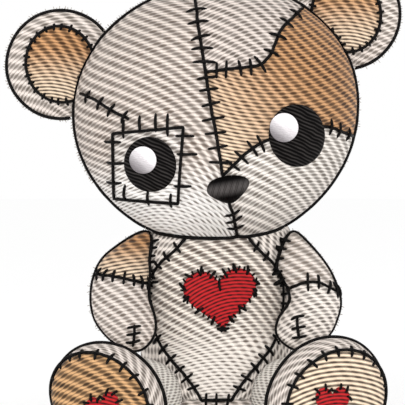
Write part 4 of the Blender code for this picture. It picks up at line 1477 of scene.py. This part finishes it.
# worn edges: thin ends of thread stand out past the outline here and there
fraying = {"head": ((0.52, 0.68, 130), (0.76, 0.9, 160), (0.1, 0.5, 90)), "ear": (0.0, 1.0, 160),
           "arm": (0.0, 1.0, 120), "long": (0.7 * mm, 1.7 * mm), "rise": 0.4 * mm, "radius": 0.18 * mm}
lint = bmesh.new()


def fray(path, middle, start, end, count):
    # thread ends that point away from a part's middle, between two shares of its outline
    for _ in range(count):
        share = chance.uniform(start, end) % 1
        point = path[int(share * (len(path) - 1))]
        out = (point - middle).normalized()
        stray = Vector([chance.uniform(-0.5, 0.5) for _ in range(3)])
        long = chance.uniform(*fraying["long"])
        rise = out * fraying["rise"]
        line = [point - rise, point + (out + stray * 0.5) * long * 0.5 + rise * 1.25,
                point + (out + stray) * long + rise]
        addStitch(lint, line, Vector((0, -1, 0)), fraying["radius"], 4, 4)


for stretch in fraying["head"]:
    fray(headCord, headFrame.translation, *stretch)
for side in labelOf:
    fray(earCords[side], earFrame[side].translation, *fraying["ear"])
    fray(armCords[side], armMiddle(side), *fraying["arm"])

for bm, name, material in ((black, "black_stitches", blackThread), (lint, "frayed_ends", greyLint)):
    faceOutwards(bm)
    link(bm, name, material, "black_satin_thread")
print(stitchCount, "stitches")

curve = bpy.data.curves.new("seam_cords", "CURVE")
curve.dimensions = "3D"
curve.bevel_depth = thread["radius"]
curve.bevel_resolution = 2
curve.use_fill_caps = True
for path, closed, thick in cordPaths:
    spline = curve.splines.new("POLY")
    spline.points.add(len(path) - 1)
    for point, place in zip(spline.points, path):
        point.co = (*place, 1)
        point.radius = thick
    spline.use_cyclic_u = closed
holder = newObject("cord_guide", curve)
graph = bpy.context.evaluated_depsgraph_get()
cordMesh = bpy.data.meshes.new_from_object(holder.evaluated_get(graph))
bpy.data.objects.remove(holder)
cords = bmesh.new()
cords.from_mesh(cordMesh)
bmesh.ops.remove_doubles(cords, verts=cords.verts, dist=0.005 * mm)
faceOutwards(cords)
link(cords, "seam_cords", blackThread, "black_satin_thread")

print("floor, light and camera")
floor = bmesh.new()
bmesh.ops.create_circle(floor, cap_ends=True, segments=96, radius=4.0)
floorMesh = bpy.data.meshes.new("floor")
floor.to_mesh(floorMesh)
floorPiece = newObject("floor", floorMesh)
# smooth white paper without a gleam: it leaves the eye only the bear and its shadow
paper, _, paperShader = newMaterial("matt_white_paper", 1.0, 0.0, 0.0)
paperShader.inputs["Base Color"].default_value = linear("fdfdfd")
floorMesh.materials.append(paper)

# each lamp as its power and its place in metres; both face the bear's middle
studio = {"sky": 1.0, "lampSize": 0.7, "key": (3.0, (-0.6, -1.5, 1.2)), "fill": (20.0, (0.15, -1.8, 0.1)),
          "middle": (0, 0, 0.13)}
world = bpy.data.worlds.new("studio")
bpy.context.scene.world = world
world.use_nodes = True
sky = world.node_tree.nodes["Background"]
sky.inputs["Color"].default_value = (1, 1, 1, 1)
sky.inputs["Strength"].default_value = studio["sky"]
for name in ("key", "fill"):
    power, place = studio[name]
    lamp = bpy.data.lights.new(name, "AREA")
    lamp.energy = power
    lamp.size = studio["lampSize"]
    lampPiece = newObject(name, lamp)
    lampPiece.location = place
    ahead = Vector(studio["middle"]) - Vector(place)
    lampPiece.rotation_euler = ahead.to_track_quat("-Z", "Y").to_euler()

view = {"target": Vector((-7.6 * mm, 0, 130 * mm)), "rise": math.radians(2), "far": 1.2375, "lens": 200,
        "sensor": 36}
camera = bpy.data.cameras.new("camera")
camera.lens = view["lens"]
camera.sensor_width = view["sensor"]
cameraPiece = newObject("camera", camera)
away = Vector((0, -math.cos(view["rise"]), math.sin(view["rise"])))
cameraPiece.location = view["target"] + away * view["far"]
cameraPiece.rotation_euler = (-away).to_track_quat("-Z", "Y").to_euler()
bpy.context.scene.camera = cameraPiece
bpy.context.scene.view_settings.view_transform = "Standard"
